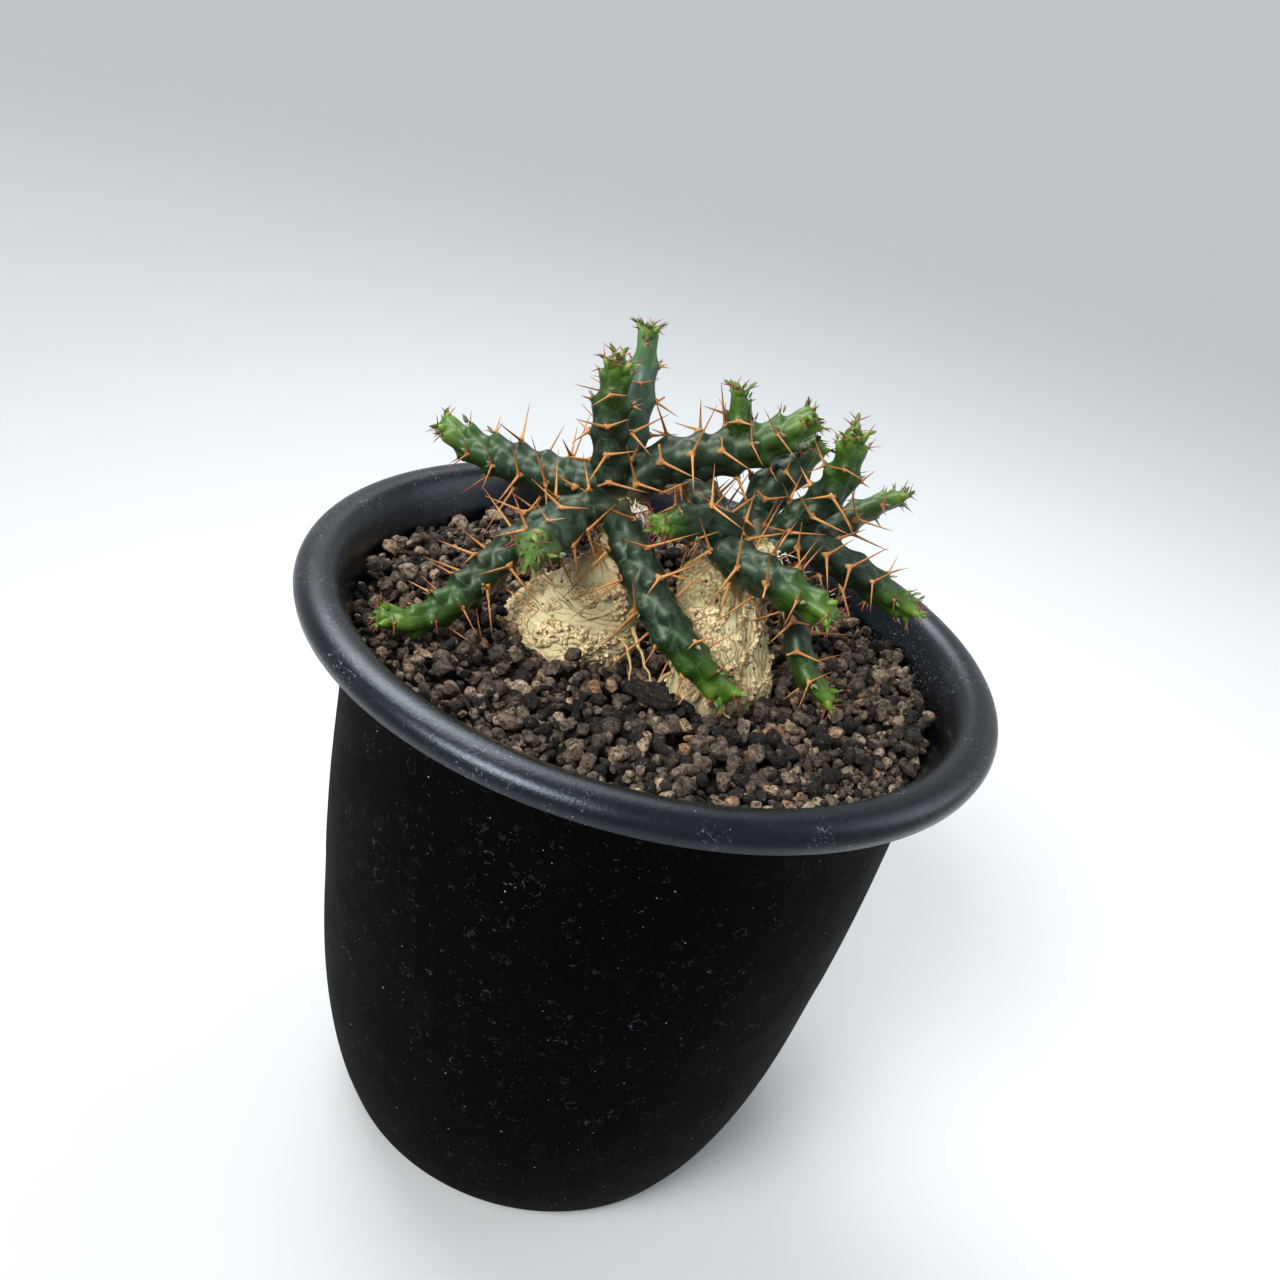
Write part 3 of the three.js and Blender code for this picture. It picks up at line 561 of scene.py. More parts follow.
def spine_horn():
    """Orange-tan horn, dark at the long spines' points and red at the growing tips."""
    finish = Finish("spine_horn", specular_ior_level=0.35)
    streak = finish.cloud(1.2, 3, 0.6)
    pointed = finish.field("reach").between(0.4, 0.95) * finish.field("tall").between(0.3, 0.9)
    finish.set(roughness=0.42 + 0.2 * streak, base_color=finish.coats(
        finish.mix(streak, (165, 107, 52), (190, 144, 87)),
        (finish.cloud(5, 1).between(0.45, 0.65) * 0.45, (131, 70, 35)),
        (pointed * 0.8, (93, 41, 28)),
        (finish.field("red"), finish.mix(streak, (104, 35, 38), (146, 70, 72))),
        (finish.field("worn"), (124, 96, 58)),
        (finish.field("pit"), (58, 35, 20)),
    ))
    finish.relief(streak, 0.08)
    return finish.material


def leaf_green():
    """Leaflets: green, or grey-brown where withered, with a red edge."""
    finish = Finish("leaf_green", roughness=0.45, specular_ior_level=0.4)
    finish.set(base_color=finish.coats(
        finish.mix(finish.cloud(0.8, 2), (53, 86, 26), (92, 125, 55)),
        (finish.field("withered"), finish.mix(finish.cloud(0.6, 2), (81, 93, 74), (132, 137, 109))),
        (finish.field("edge") * 0.8, (111, 42, 37)),
    ))
    return finish.material


def plain(name, rough, specular, size, detail, first, second):
    """A finish of two close colours in soft clouds."""
    finish = Finish(name, roughness=rough, specular_ior_level=specular)
    finish.set(base_color=finish.mix(finish.cloud(size, detail), first, second))
    return finish.material


def dry_thread():
    finish = Finish("dry_thread", roughness=0.8, specular_ior_level=0.2)
    pale = finish.mix(finish.cloud(0.8, 3), (150, 122, 80), (206, 182, 132))
    finish.set(base_color=finish.mix(finish.field("red"), pale, (96, 46, 44)))
    return finish.material


# Meshes

def placed(name, data):
    """A new object of the scene with that data."""
    made = bpy.data.objects.new(name, data)
    bpy.context.scene.collection.objects.link(made)
    return made


class Shape:
    """Points, faces and values at the points, gathered for one piece."""

    def __init__(self):
        self.points = []
        self.faces = []
        self.finish_of = []
        self.fields = []
        self.count = 0

    def face(self, block, finish=0):
        """Faces of one finish, as rows of the numbers of their points."""
        self.faces.append(np.asarray(block, int))
        self.finish_of.append(np.full(len(block), finish))

    def add(self, points, faces, **fields):
        """faces is a list of arrays, each with the same number of corners in a row."""
        points = np.asarray(points, float).reshape(-1, 3)
        for block in faces:
            self.face(np.asarray(block, int) + self.count)
        self.fields.append({name: np.broadcast_to(value, len(points)) for name, value in fields.items()})
        self.points.append(points)
        self.count += len(points)

    def skin(self, rings, first, last, **fields):
        """A closed skin over rings of points, with one more point that closes each end."""
        points = np.concatenate([rings.reshape(-1, 3), [first], [last]])
        self.add(points, closed_net(*rings.shape[:2]), **fields)

    def tube(self, line, radii, sides, flat=1.0, face=None, **fields):
        """A closed tube along a line of points, with a radius at each. flat squashes it along face."""
        line = np.asarray(line, float)
        direction = unit(np.gradient(line, axis=0))
        first, second = across(direction[0])
        if face is not None:
            second = unit(np.asarray(face) - np.dot(face, direction[0]) * direction[0])
            first = np.cross(second, direction[0])
        angle = round_angles(sides)
        rings = (
            line[:, None]
            + (radii[:, None] * np.cos(angle))[..., None] * first
            + (radii[:, None] * np.sin(angle) * flat)[..., None] * second
        )
        self.skin(rings, line[0], line[-1], **fields)

    def piece(self, name, finishes, slot=None, replaced=()):
        """The gathered shape as an object that rides on the body."""
        mesh = bpy.data.meshes.new(name)
        corners = np.concatenate([block.ravel() for block in self.faces])
        sizes = np.concatenate([np.full(len(block), block.shape[1]) for block in self.faces])
        mesh.vertices.add(self.count)
        mesh.vertices.foreach_set("co", (np.concatenate(self.points) * MM).ravel())
        mesh.loops.add(len(corners))
        mesh.loops.foreach_set("vertex_index", corners)
        mesh.polygons.add(len(sizes))
        mesh.polygons.foreach_set("loop_start", np.cumsum(sizes) - sizes)
        mesh.polygons.foreach_set("material_index", np.concatenate(self.finish_of))
        mesh.update(calc_edges=True)
        mesh.shade_smooth()
        for field in sorted({field for given in self.fields for field in given}):
            parts = zip(self.fields, self.points)
            values = np.concatenate([given.get(field, np.zeros(len(points))) for given, points in parts])
            mesh.attributes.new(field, "FLOAT", "POINT").data.foreach_set("value", values.astype(np.float32))
        for finish in finishes:
            mesh.materials.append(finish)
        made = placed(name, mesh)
        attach(made, BODY)
        if replaced:
            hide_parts(*replaced)
        return made


def round_angles(sides):
    return np.arange(sides) * 2 * np.pi / sides


def net(rings, sides):
    """Quads between rings of points."""
    ring, side = np.meshgrid(np.arange(rings - 1), np.arange(sides), indexing="ij")
    below = ring * sides
    after = (side + 1) % sides
    quads = [below + side, below + after, below + sides + after, below + sides + side]
    return np.stack(quads, axis=-1).reshape(-1, 4)


def closed_net(rings, sides):
    """Faces of a closed skin: the rings, then one point that closes each end."""
    side = np.arange(sides)
    after = (side + 1) % sides
    first = np.full(sides, rings * sides)
    top = (rings - 1) * sides
    return [
        net(rings, sides),
        np.stack([first, after, side], axis=-1),
        np.stack([first + 1, top + side, top + after], axis=-1),
    ]


def on_rings(values, sides, first, last):
    """One value for each ring of a tube, then those of the points that close its ends."""
    return np.concatenate([np.repeat(values, sides), [first, last]])


def turned(profile, sides):
    """Rings of points round the upright axis, from rows of radius and height."""
    angle = round_angles(sides)
    return np.stack([
        profile[:, :1] * np.cos(angle), profile[:, :1] * np.sin(angle),
        np.broadcast_to(profile[:, 1:], (len(profile), sides)),
    ], axis=-1)


def ball(cuts):
    """The points and the faces of a ball of radius 1."""
    made = bmesh.new()
    bmesh.ops.create_icosphere(made, subdivisions=cuts, radius=1)
    points = np.array([vertex.co for vertex in made.verts])
    faces = np.array([[vertex.index for vertex in face.verts] for face in made.faces])
    made.free()
    return points, faces


def unit(vectors):
    vectors = np.asarray(vectors, float)
    return vectors / np.maximum(np.linalg.norm(vectors, axis=-1, keepdims=True), 1e-9)


def across(direction):
    """Two directions square to the given one and to each other."""
    helper = np.array([1.0, 0, 0]) if abs(direction[0]) < 0.8 else np.array([0, 1.0, 0])
    first = unit(np.cross(direction, helper))
    return first, np.cross(direction, first)


def hashed(cells):
    """A number from -1 to 1 for each whole-numbered cell, always the same one."""
    mixed = cells @ np.array(CELL_MIX)
    mixed = (mixed ^ (mixed >> 13)) * BIT_MIX
    return ((mixed ^ (mixed >> 16)) & 0xFFFF) / 32767.5 - 1


def wander(points, size, seed=0):
    """Smooth noise from -1 to 1 at each point, with features about size apart."""
    place = np.asarray(points, float) / size + 17.3 * seed
    low = np.floor(place).astype(np.int64)
    share = place - low
    share = share * share * (3 - 2 * share)
    total = np.zeros(place.shape[:-1])
    for corner in np.ndindex(2, 2, 2):
        weight = np.prod(np.where(corner, share, 1 - share), axis=-1)
        total += weight * hashed(low + np.array(corner))
    return total


def shaken(line, size, seed, amount):
    """The line with its points pushed about by smooth noise."""
    return line + np.stack([wander(line, size, seed + k) for k in range(3)], axis=-1) * amount


# Pot

def chaikin(profile, passes=2):
    """The profile with its corners cut, so that it reads as a curve. Its two ends stay."""
    points = np.array(profile, float)
    for _ in range(passes):
        near = points[:-1] * 0.75 + points[1:] * 0.25
        far = points[:-1] * 0.25 + points[1:] * 0.75
        cut = np.stack([near, far], axis=1).reshape(-1, 2)
        points = np.concatenate([points[:1], cut[1:-1], points[-1:]])
    return points


def pot(body_finish, rim_finish):
    """The pot turned from its profile, with drain slots cut through its raised floor."""
    foot_inside = FOOT_RADIUS - FOOT_WIDTH
    foot = [[foot_inside - 1, FOOT_RISE], [foot_inside - 0.4, 0.3], [foot_inside, 0],
            [FOOT_RADIUS - 0.5, 0], [FOOT_RADIUS + 0.3, 0.25]]
    outside = np.concatenate([foot, chaikin(BODY_OUTSIDE), chaikin(RIM_OUTSIDE, 3)])
    inside = np.concatenate([chaikin(RIM_CROWN, 3), chaikin(BODY_INSIDE), [[36.4, FLOOR_TOP]]])
    profile = np.concatenate([outside, inside])
    walls, under, floor = closed_net(len(profile), POT_SIDES)
    split = (len(outside) - RINGS_UNDER_CROWN) * POT_SIDES
    ends = [[0, 0, FOOT_RISE], [0, 0, FLOOR_TOP]]
    shape = Shape()
    shape.add(np.concatenate([turned(profile, POT_SIDES).reshape(-1, 3), ends]), [])
    shape.face(walls[:split], 0)
    shape.face(walls[split:], 1)
    shape.face(under, 0)
    shape.face(floor, 1)
    made = shape.piece("black_pot", [body_finish, rim_finish], "pot_plastic", ["pot"])
    cutter = bmesh.new()
    for k in range(SLOT_COUNT):
        turn = Matrix.Rotation(k * 2 * math.pi / SLOT_COUNT, 4, "Z")
        place = Matrix.Translation(Vector((SLOT_REACH, 0, FLOOR_TOP / 2)) * MM)
        size = Matrix.Diagonal([side * MM for side in SLOT_SIZE] + [1])
        bmesh.ops.create_cube(cutter, size=1, matrix=turn @ place @ size)
    mesh = bpy.data.meshes.new("slot_cutter")
    cutter.to_mesh(mesh)
    cutter.free()
    slots = placed("slot_cutter", mesh)
    cut = made.modifiers.new("slots", "BOOLEAN")
    cut.object = slots
    cut.solver = "EXACT"
    bpy.context.view_layer.objects.active = made
    bpy.ops.object.modifier_apply(modifier=cut.name)
    bpy.data.objects.remove(slots)
    made.data.shade_smooth()
    made.data.set_sharp_from_angle(angle=math.radians(POT_CREASE))


# Stems

class StemPath:
    """The line a stem grows along: a centripetal spline through its route, with a frame that turns
    as little as it can, so that ribs and bumps fall where the solid has them. The bumps stand at
    its steps."""

    DIVISIONS = 200

    def __init__(self, stem):
        self.stem = stem
        knots = np.array(stem["route"], float)
        self.knots = np.concatenate([[2 * knots[0] - knots[1]], knots, [2 * knots[-1] - knots[-2]]])
        line = self.spline(np.linspace(0, 1, self.DIVISIONS + 1))
        self.lengths = np.concatenate([[0], np.cumsum(np.linalg.norm(np.diff(line, axis=0), axis=1))])
        self.length = self.lengths[-1]
        self.steps = int(self.length / TUBERCLE_PITCH + 0.5) * 2
        self.centre, self.tangent, self.normal, self.binormal = self.frames(self.steps)

    def spline(self, share):
        """Points at shares of the spline's own parameter."""
        spans = len(self.knots) - 3
        place = np.clip(share, 0, 1) * spans
        low = np.minimum(np.floor(place).astype(int), spans - 1)
        part = (place - low)[:, None]
        before, start, end, after = (self.knots[low + k] for k in range(4))
        gaps = [np.linalg.norm(b - a, axis=1)[:, None] ** 0.5 for a, b in
                ((before, start), (start, end), (end, after))]
        leave = (start - before) / gaps[0] - (end - before) / (gaps[0] + gaps[1]) + (end - start) / gaps[1]
        arrive = (end - start) / gaps[1] - (after - start) / (gaps[1] + gaps[2]) + (after - end) / gaps[2]
        leave = leave * gaps[1]
        arrive = arrive * gaps[1]
        square = -3 * start + 3 * end - 2 * leave - arrive
        cube = 2 * start - 2 * end + leave + arrive
        return start + part * (leave + part * (square + part * cube))

    def along(self, share):
        """Points and directions at shares of the length."""
        even = np.linspace(0, 1, self.DIVISIONS + 1)
        place = np.interp(np.asarray(share) * self.length, self.lengths, even)
        step = 1e-4
        ahead = self.spline(np.minimum(place + step, 1))
        behind = self.spline(np.maximum(place - step, 0))
        return self.spline(place), unit(ahead - behind)

    def frames(self, count):
        """Points, directions and two square directions at count + 1 even places."""
        centre, tangent = self.along(np.linspace(0, 1, count + 1))
        helper = np.eye(3)[2 - np.argmin(np.abs(tangent[0])[::-1])]
        normal = np.cross(tangent[0], unit(np.cross(tangent[0], helper)))
        normals = [normal]
        for before, now in zip(tangent[:-1], tangent[1:]):
            axis = np.cross(before, now)
            if np.linalg.norm(axis) > 1e-9:
                angle = math.acos(min(1.0, max(-1.0, float(np.dot(before, now)))))
                normal = np.array(Matrix.Rotation(angle, 3, Vector(axis)) @ Vector(normal))
            normals.append(normal)
        normals = np.array(normals)
        return centre, tangent, normals, np.cross(tangent, normals)

    def outward(self, step, angle):
        """The direction away from the stem's line, at one of its steps."""
        return math.cos(angle) * self.normal[step] + math.sin(angle) * self.binormal[step]


def taper(stem, along):
    """Slimmer at the root, full in the middle and slim again in the young growth."""
    tip = stem.get("tip", TIP_SLIM)
    return np.minimum(1, ROOT_SLIM + along) * np.minimum(1, tip + TIP_SLOPE * (1 - along))


def bump_height(step, rib, youth):
    """How high a rib stands at a step: 1 on a bump. Old bumps are round, young ones are teeth with
    their long slope towards the root."""
    past = (step - rib) % 2
    hill = 0.5 + 0.5 * np.cos(np.pi * past)
    face = (1 - np.minimum(past, TOOTH_FACE) / TOOTH_FACE) ** 1.5
    slope = (np.maximum(past - TOOTH_FACE, 0) / (2 - TOOTH_FACE)) ** 1.8
    sharp = 0.45 + 0.55 * youth
    return hill * (1 - sharp) + np.where(past < TOOTH_FACE, face, slope) * sharp


def off_rib(stem, rib, angle):
    """The turn from a rib to an angle round the stem, from -1 to 1 between the two furrows."""
    turn = (angle - rib * 2 * np.pi / stem["ribs"] + np.pi) % (2 * np.pi) - np.pi
    return turn / (np.pi / stem["ribs"])


def swell(stem, step, angle, youth):
    """The skin's radius at steps and angles as a share of the stem's, and how far it is a crest."""
    total = np.zeros(np.broadcast_shapes(step.shape, angle.shape))
    hollow = 0.2 + 0.1 * youth
    tag = stem["route"][0][2] + stem["route"][-1][0]
    for rib in range(stem["ribs"]):
        off = np.abs(off_rib(stem, rib, angle))
        place = np.stack([step * 0.8, np.full(step.shape, 5.3 * rib), np.full(step.shape, tag)], axis=-1)
        height = bump_height(step, rib, youth) * (0.95 + 0.3 * wander(place, 1.7))
        width = 1.06 + 0.24 * height
        stand = (0.1 + 0.06 * youth + (0.23 + 0.28 * youth) * height) * (1 - 0.55 * youth ** 6)
        crest = stand * np.clip(1 - (off / width) ** 2, 0, None) ** (1 + 0.8 * youth * height)
        total += crest ** 4
    total = total ** 0.25
    return 1 - hollow + total, total / 0.5


def lean_of_crest(crest, youth, girth):
    """How far a crest leans towards the tip."""
    return crest ** 3 * (0.08 + 0.26 * youth) * girth


def seam_between_bumps(stem, step, angle, seed):
    """How far a point is from the line midway between its two nearest bumps, in millimetres."""
    along = stem["radius"] * np.pi / stem["ribs"]
    place = np.stack(np.broadcast_arrays(step * 1.3, 2.1 * np.cos(angle), 2.1 * np.sin(angle)), -1)
    push = wander(place, 1.1, seed)
    spans = []
    for rib in range(stem["ribs"]):
        sideways = off_rib(stem, rib, angle) * along
        for shift in (-1, 1):
            ahead = ((step - rib) % 2 - 1 + shift) * TUBERCLE_PITCH / 2
            spans.append(np.hypot(sideways + 0.5 * push, ahead + 0.4 * push))
    spans = np.sort(np.stack(spans), axis=0)
    return (spans[1] - spans[0]) / 2


def youth_at(stem, along):
    """0 in the old growth, rising to 1 over the young end of the stem."""
    return np.clip((along - 1) / (1.6 * stem["young"]) + 1, 0, 1) ** 1.4


def stem_skin(path, body, seed):
    """The ribbed skin of one stem or shoot, closed by a dome at the growing tip."""
    stem = path.stem
    count = path.steps * RINGS_PER_STEP
    sides = stem["ribs"] * SIDES_PER_RIB
    centre, tangent, normal, binormal = path.frames(count)
    step = (np.arange(count + 1) / RINGS_PER_STEP)[:, None]
    along = step / path.steps
    angle = round_angles(sides)[None]
    youth = youth_at(stem, along)
    radius, crest = swell(stem, step, angle, youth)
    girth = taper(stem, along) * stem["radius"]
    out = np.cos(angle)[..., None] * normal[:, None] + np.sin(angle)[..., None] * binormal[:, None]
    rough = 1 + 0.03 * wander(centre[:, None] + out * stem["radius"], 3.1, seed)
    lean = lean_of_crest(crest, youth, girth)[..., None] * tangent[:, None]
    rings = centre[:, None] + out * (radius * rough * girth)[..., None] + lean
    dome = []
    for share in (0.35, 0.62, 0.84):
        rise = tangent[-1] * stem["radius"] * TIP_DOME * math.sin(share * math.pi / 2)
        dome.append(centre[-1] + rise + (rings[-1] - centre[-1]) * math.cos(share * math.pi / 2))
    root = centre[0] - tangent[0] * stem["radius"] * TIP_DOME
    tip = centre[-1] + tangent[-1] * stem["radius"] * TIP_DOME
    rings = np.concatenate([rings, dome])

    def spread(values, at_root, at_tip):
        """Values on the rings, repeated over the dome and the two end points."""
        values = np.broadcast_to(values, (count + 1, sides))
        top = np.broadcast_to(values[-1], (len(dome), sides))
        return np.concatenate([values.ravel(), top.ravel(), [at_root, at_tip]])

    body.skin(
        rings, root, tip,
        youth=spread(youth, 0, 1),
        crest=spread(np.clip(crest, 0, 1), 0, 0.4),
        seam=spread(seam_between_bumps(stem, step, angle, seed), 1, 1),
        # The haze share goes to the skin as painted sheen
        tint=spread(stem.get("haze", USUAL_PAINTED_SHEEN), 0, 0),
        woody=spread(np.clip(1 - along * path.length / 3.5, 0, 1) * 0.7, 1, 0),
    )


def horns(path, body, leaves, spines, draw):
    """The small teeth crowded round a growing tip, each with leaflets and a pair of short red spines."""
    stem = path.stem
    ahead = path.tangent[-1]
    girth = stem["radius"] * float(taper(stem, 1.0))
    inner = 5 if girth > 2.4 else 2
    for k in range(stem["ribs"] + inner):
        on_rib = k < stem["ribs"]
        turn = k / stem["ribs"] if on_rib else k * 0.382 + 0.1
        out = path.outward(-1, (turn + 0.05 * draw.normal()) * 2 * math.pi)
        size = min(girth * 0.7, 1.15) * (1 if on_rib else 0.7) * (0.85 + 0.3 * draw.random())
        size = size * stem.get("teeth", 1)
        back = 0.9 if on_rib and (path.steps - k) % 2 else 0.3
        foot = path.centre[-1] + out * (girth * (0.62 if on_rib else 0.36)) - ahead * size * back
        spread = (0.85 if on_rib else 0.4) * (0.7 + 0.6 * draw.random())
        direction = unit(ahead * (0.75 if on_rib else 1.0) + out * spread)
        length = size * (1.1 + 0.4 * draw.random())
        share = np.array([0, 0.2, 0.42, 0.64, 0.82, 0.94, 1.0])
        line = foot + direction * (length * share)[:, None] + ahead * (0.3 * share ** 2)[:, None]
        radii = size * np.array([0.8, 0.78, 0.7, 0.56, 0.4, 0.25, 0.1])
        crest = on_rings(0.2 + 0.7 * share, 12, 0.2, 0.9)
        body.tube(line, radii, 12, 0.8, out, youth=1.0, crest=crest, seam=1.0)
        end = line[-2]
        round_way = np.cross(ahead, out)
        for side in (-1, 1):
            apart = round_way * side * (0.8 + 0.5 * draw.random())
            point = unit(direction * 0.7 + apart + out * 0.4 * draw.random())
            thorn(spines, end, point, 1.2 + 1.6 * draw.random(), 0.14, out, 1.0, 0.4)
        for _ in range(1 + int(draw.random() < 0.6)):
            lean = unit(direction + round_way * (draw.random() - 0.5) * 1.2 + out * (draw.random() - 0.3))
            blade(leaves, end - direction * 0.2, lean, out, 0.9 + 0.9 * draw.random(), 0.8, 0.0)


def rosette(path, leaves, spines, draw):
    """The few leaflets that stand in the middle of a growing tip."""
    ahead = path.tangent[-1]
    radius = path.stem["radius"]
    tip = path.centre[-1] + ahead * radius * 0.2
    for k in range(3):
        out = path.outward(-1, 2 * math.pi * (k + 0.6 * draw.random()) / 3)
        direction = unit(out * (0.4 + 0.4 * draw.random()) + ahead)
        start = tip + out * radius * 0.1 - ahead * 0.3
        blade(leaves, start, direction, out, 0.9 + 0.7 * draw.random(), 0.8, 0.0)
        thorn(spines, start, unit(direction + out), 1.0 + draw.random(), 0.11, out, 1.0, 0.3)


# Spines

def in_tubers(points, margin, tubers=TUBERS):
    """Which points lie inside a rootstock, or within a margin of it."""
    inside = np.zeros(len(points), bool)
    for rings in tubers:
        table = np.array(rings, float)
        height = np.clip(points[:, 2], table[0, 0], table[-1, 0])
        x, y, wide, deep = (np.interp(height, table[:, 0], table[:, k]) for k in range(1, 5))
        flat = np.hypot((points[:, 0] - x) / (wide + margin), (points[:, 1] - y) / (deep + margin))
        inside |= (flat < 1) & (points[:, 2] < table[-1, 0] + margin) & (points[:, 2] > table[0, 0])
    return inside


class Clearance:
    """Rods that stand for stems and placed spines, so that spines stay clear of other stems."""

    def __init__(self):
        self.rods = []

    def add(self, owner, start, end, radius):
        self.rods.append((owner, start, end, radius))

    def add_stem(self, owner, path):
        radii = path.stem["radius"] * taper(path.stem, np.arange(path.steps) / path.steps) * CREST
        for start, end, radius in zip(path.centre[:-1], path.centre[1:], radii):
            self.add(owner, start, end, radius)

    def free(self, owner, start, end, margin=0.15):
        """Whether a rod is clear of the pot, the gravel, the rootstocks and what others own."""
        points = start + (end - start) * np.linspace(0.1, 1, 10)[:, None]
        from_axis = np.hypot(points[:, 0], points[:, 1])
        by_wall = (from_axis > WALL_AT_SOIL - 1.5) & (points[:, 2] < POT_HEIGHT + 0.6)
        low = points[:, 2] < SOIL_LEVEL + 1.2
        if np.any(by_wall | low | in_tubers(points, 0.6)):
            return False
        others = [rod[1:] for rod in self.rods if rod[0] != owner]
        starts, ends, radii = (np.array(part) for part in zip(*others))
        spans = ends - starts
        gap = points[:, None] - starts[None]
        share = np.clip(np.sum(gap * spans, axis=-1) / np.sum(spans * spans, axis=-1), 0, 1)
        near = np.linalg.norm(gap - share[..., None] * spans, axis=-1)
        return bool(np.all(near > radii + margin))


def thorn(shape, start, direction, length, thick, bow, red, flare=1.0, blunt=0.0):
    """One spine: thick where it leaves the shield, then a fine point, or a broken end."""
    share = np.array([0, 0.07, 0.18, 0.38, 0.62, 0.84, 0.97])
    line = start + direction * (length * share)[:, None] + bow * (length * 0.06 * share ** 2)[:, None]
    radii = thick * ((1 - share) ** 0.85 * 0.92 + 0.06) + thick * 0.3 * flare * np.exp(-share * length / 0.6)
    radii = np.maximum(radii, blunt * thick * 0.7)
    shape.tube(line, radii, 6, reach=on_rings(share, 6, 0, 1), red=red, tall=length / 10)


def bead(shape, centre, axes, radii, **fields):
    """A squashed ball on three axes."""
    sides = 6
    polar = np.array([0.5, 1.0, 1.5707963, 2.14, 2.64])[:, None]
    angle = round_angles(sides)
    rise = np.broadcast_to(np.cos(polar), (len(polar), sides))
    local = np.stack([np.sin(polar) * np.cos(angle), np.sin(polar) * np.sin(angle), rise], -1)
    local = np.concatenate([local.reshape(-1, 3), [[0, 0, 1], [0, 0, -1]]]) * radii
    faces = [block[:, ::-1] for block in closed_net(len(polar), sides)]
    shape.add(centre + local @ np.array(axes), faces, **fields)


def blade(shape, start, direction, face, length, width, withered):
    """A small thick leaf with a pointed end, its flat side square to face."""
    share = np.array([0, 0.15, 0.35, 0.58, 0.8, 0.96])
    radii = width / 2 * np.array([0.45, 0.8, 1, 0.86, 0.5, 0.12])
    curl = unit(face) * (length * 0.25 * share ** 2)[:, None]
    line = start + direction * (length * share)[:, None] + curl
    edge = on_rings(np.clip(share * 1.6 - 0.9, 0, 1), 6, 0, 1)
    shape.tube(line, radii, 6, 0.34, face, edge=edge, withered=withered)


def arm(path, owner, spines, leaves, rods, draw):
    """Shields with their pairs of spines on the bumps, and leaflets on the young ones."""
    stem = path.stem
    for step in range(1, path.steps + 1):
        along = step / path.steps
        youth = float(youth_at(stem, np.array(along)))
        girth = float(taper(stem, along)) * stem["radius"]
        for rib in range(stem["ribs"]):
            if (step + rib) % 2:
                continue
            angle = rib * 2 * math.pi / stem["ribs"]
            out = path.outward(step, angle)
            share, crest = swell(stem, np.array([float(step)]), np.array([angle]), youth)
            lead = path.tangent[step] * lean_of_crest(float(crest[0]), youth, girth)
            top = path.centre[step] + out * float(share[0]) * girth + lead
            if in_tubers(top[None], 0.3)[0]:
                continue
            seat = (top, out, path.tangent[step])
            spine_pair(stem, owner, spines, rods, draw, seat, along, youth)
            if youth > 0.2 or draw.random() < 0.15:
                leaf_on_bump(leaves, seat, youth, draw)


def spine_size(along, youth, draw):
    """How long and how thick a pair is, as shares of a full-grown one, and how red."""
    if along > 0.8 or youth > 0.75:
        return 0.16 + 0.14 * draw.random(), 0.42, 0.75 + 0.25 * draw.random()
    if along > 0.62:
        return 0.34 + 0.36 * draw.random(), 0.7, 0.55 * draw.random()
    return 0.7 + 0.5 * draw.random(), 1.0, 0.22 * draw.random() ** 2


def spine_pair(stem, owner, spines, rods, draw, seat, along, youth):
    """The shield on a bump and its two spines. A spine that would touch another stem is turned,
    then shortened. Some old ones are broken or gone."""
    top, out, tangent = seat
    twist = 0.26 * draw.normal()
    round_way = np.cross(tangent, out)
    round_way = unit(round_way * math.cos(twist) + tangent * math.sin(twist))
    share_long, share_thick, red = spine_size(along, youth, draw)
    lean = 0.14 + 0.2 * draw.normal()
    old = share_thick == 1.0
    gone = old and draw.random() < PAIRS_GONE
    fork = top + out * 0.34 * share_thick
    stands = False
    for side in (-1, 1):
        reach = stem["spine"] * share_long * (0.88 + 0.24 * draw.random())
        broken = old and draw.random() < SPINES_BROKEN
        if broken:
            reach *= BROKEN_LENGTH
        stray = 9 * draw.normal()
        bow = (tangent * (draw.random() - 0.35) + out * (draw.random() - 0.5)) * 0.8
        if gone:
            continue
        start = fork - out * 0.2 + round_way * side * 0.12
        for turn, share in SPINE_TRIES:
            spread = math.radians(SPINE_SPREAD + stray - turn)
            direction = unit(out * math.cos(spread) + round_way * side * math.sin(spread) + tangent * lean)
            end = start + direction * reach * share
            if rods.free(owner, start, end):
                blunt = 1.0 if broken else 0.0
                thick = SPINE_THICK * share_thick
                thorn(spines, start, direction, reach * share, thick, bow, red, blunt=blunt)
                rods.add(owner, start, end, 0.2)
                stands = True
                break
    if stands:
        shield(spines, fork, (top, out, tangent, round_way), share_thick, red, draw)


def shield(spines, fork, seat, size, red, draw):
    """The horny strip that runs down the rib from a pair of spines, with the bud's pit above it."""
    top, out, tangent, round_way = seat
    long = (0.9 + 0.6 * draw.random()) * size
    share = np.array([0, 0.25, 0.5, 0.72, 0.88, 1.0])
    rise = np.array([-0.34, -0.12, 0.0, 0.12, 0.22, 0.26]) * size
    line = top - tangent * (long * (1 - share) - 0.4 * size)[:, None] + out * rise[:, None]
    radii = size * np.array([0.16, 0.38, 0.56, 0.66, 0.62, 0.34])
    spines.tube(line, radii, 9, 0.68, out, reach=0.0, red=red * 0.5, worn=0.5 * draw.random())
    pit = fork + tangent * 0.4 * size - out * 0.26 * size
    bead(spines, pit, (round_way, tangent, out), np.array([0.26, 0.24, 0.16]) * size, reach=0.0, pit=1.0)


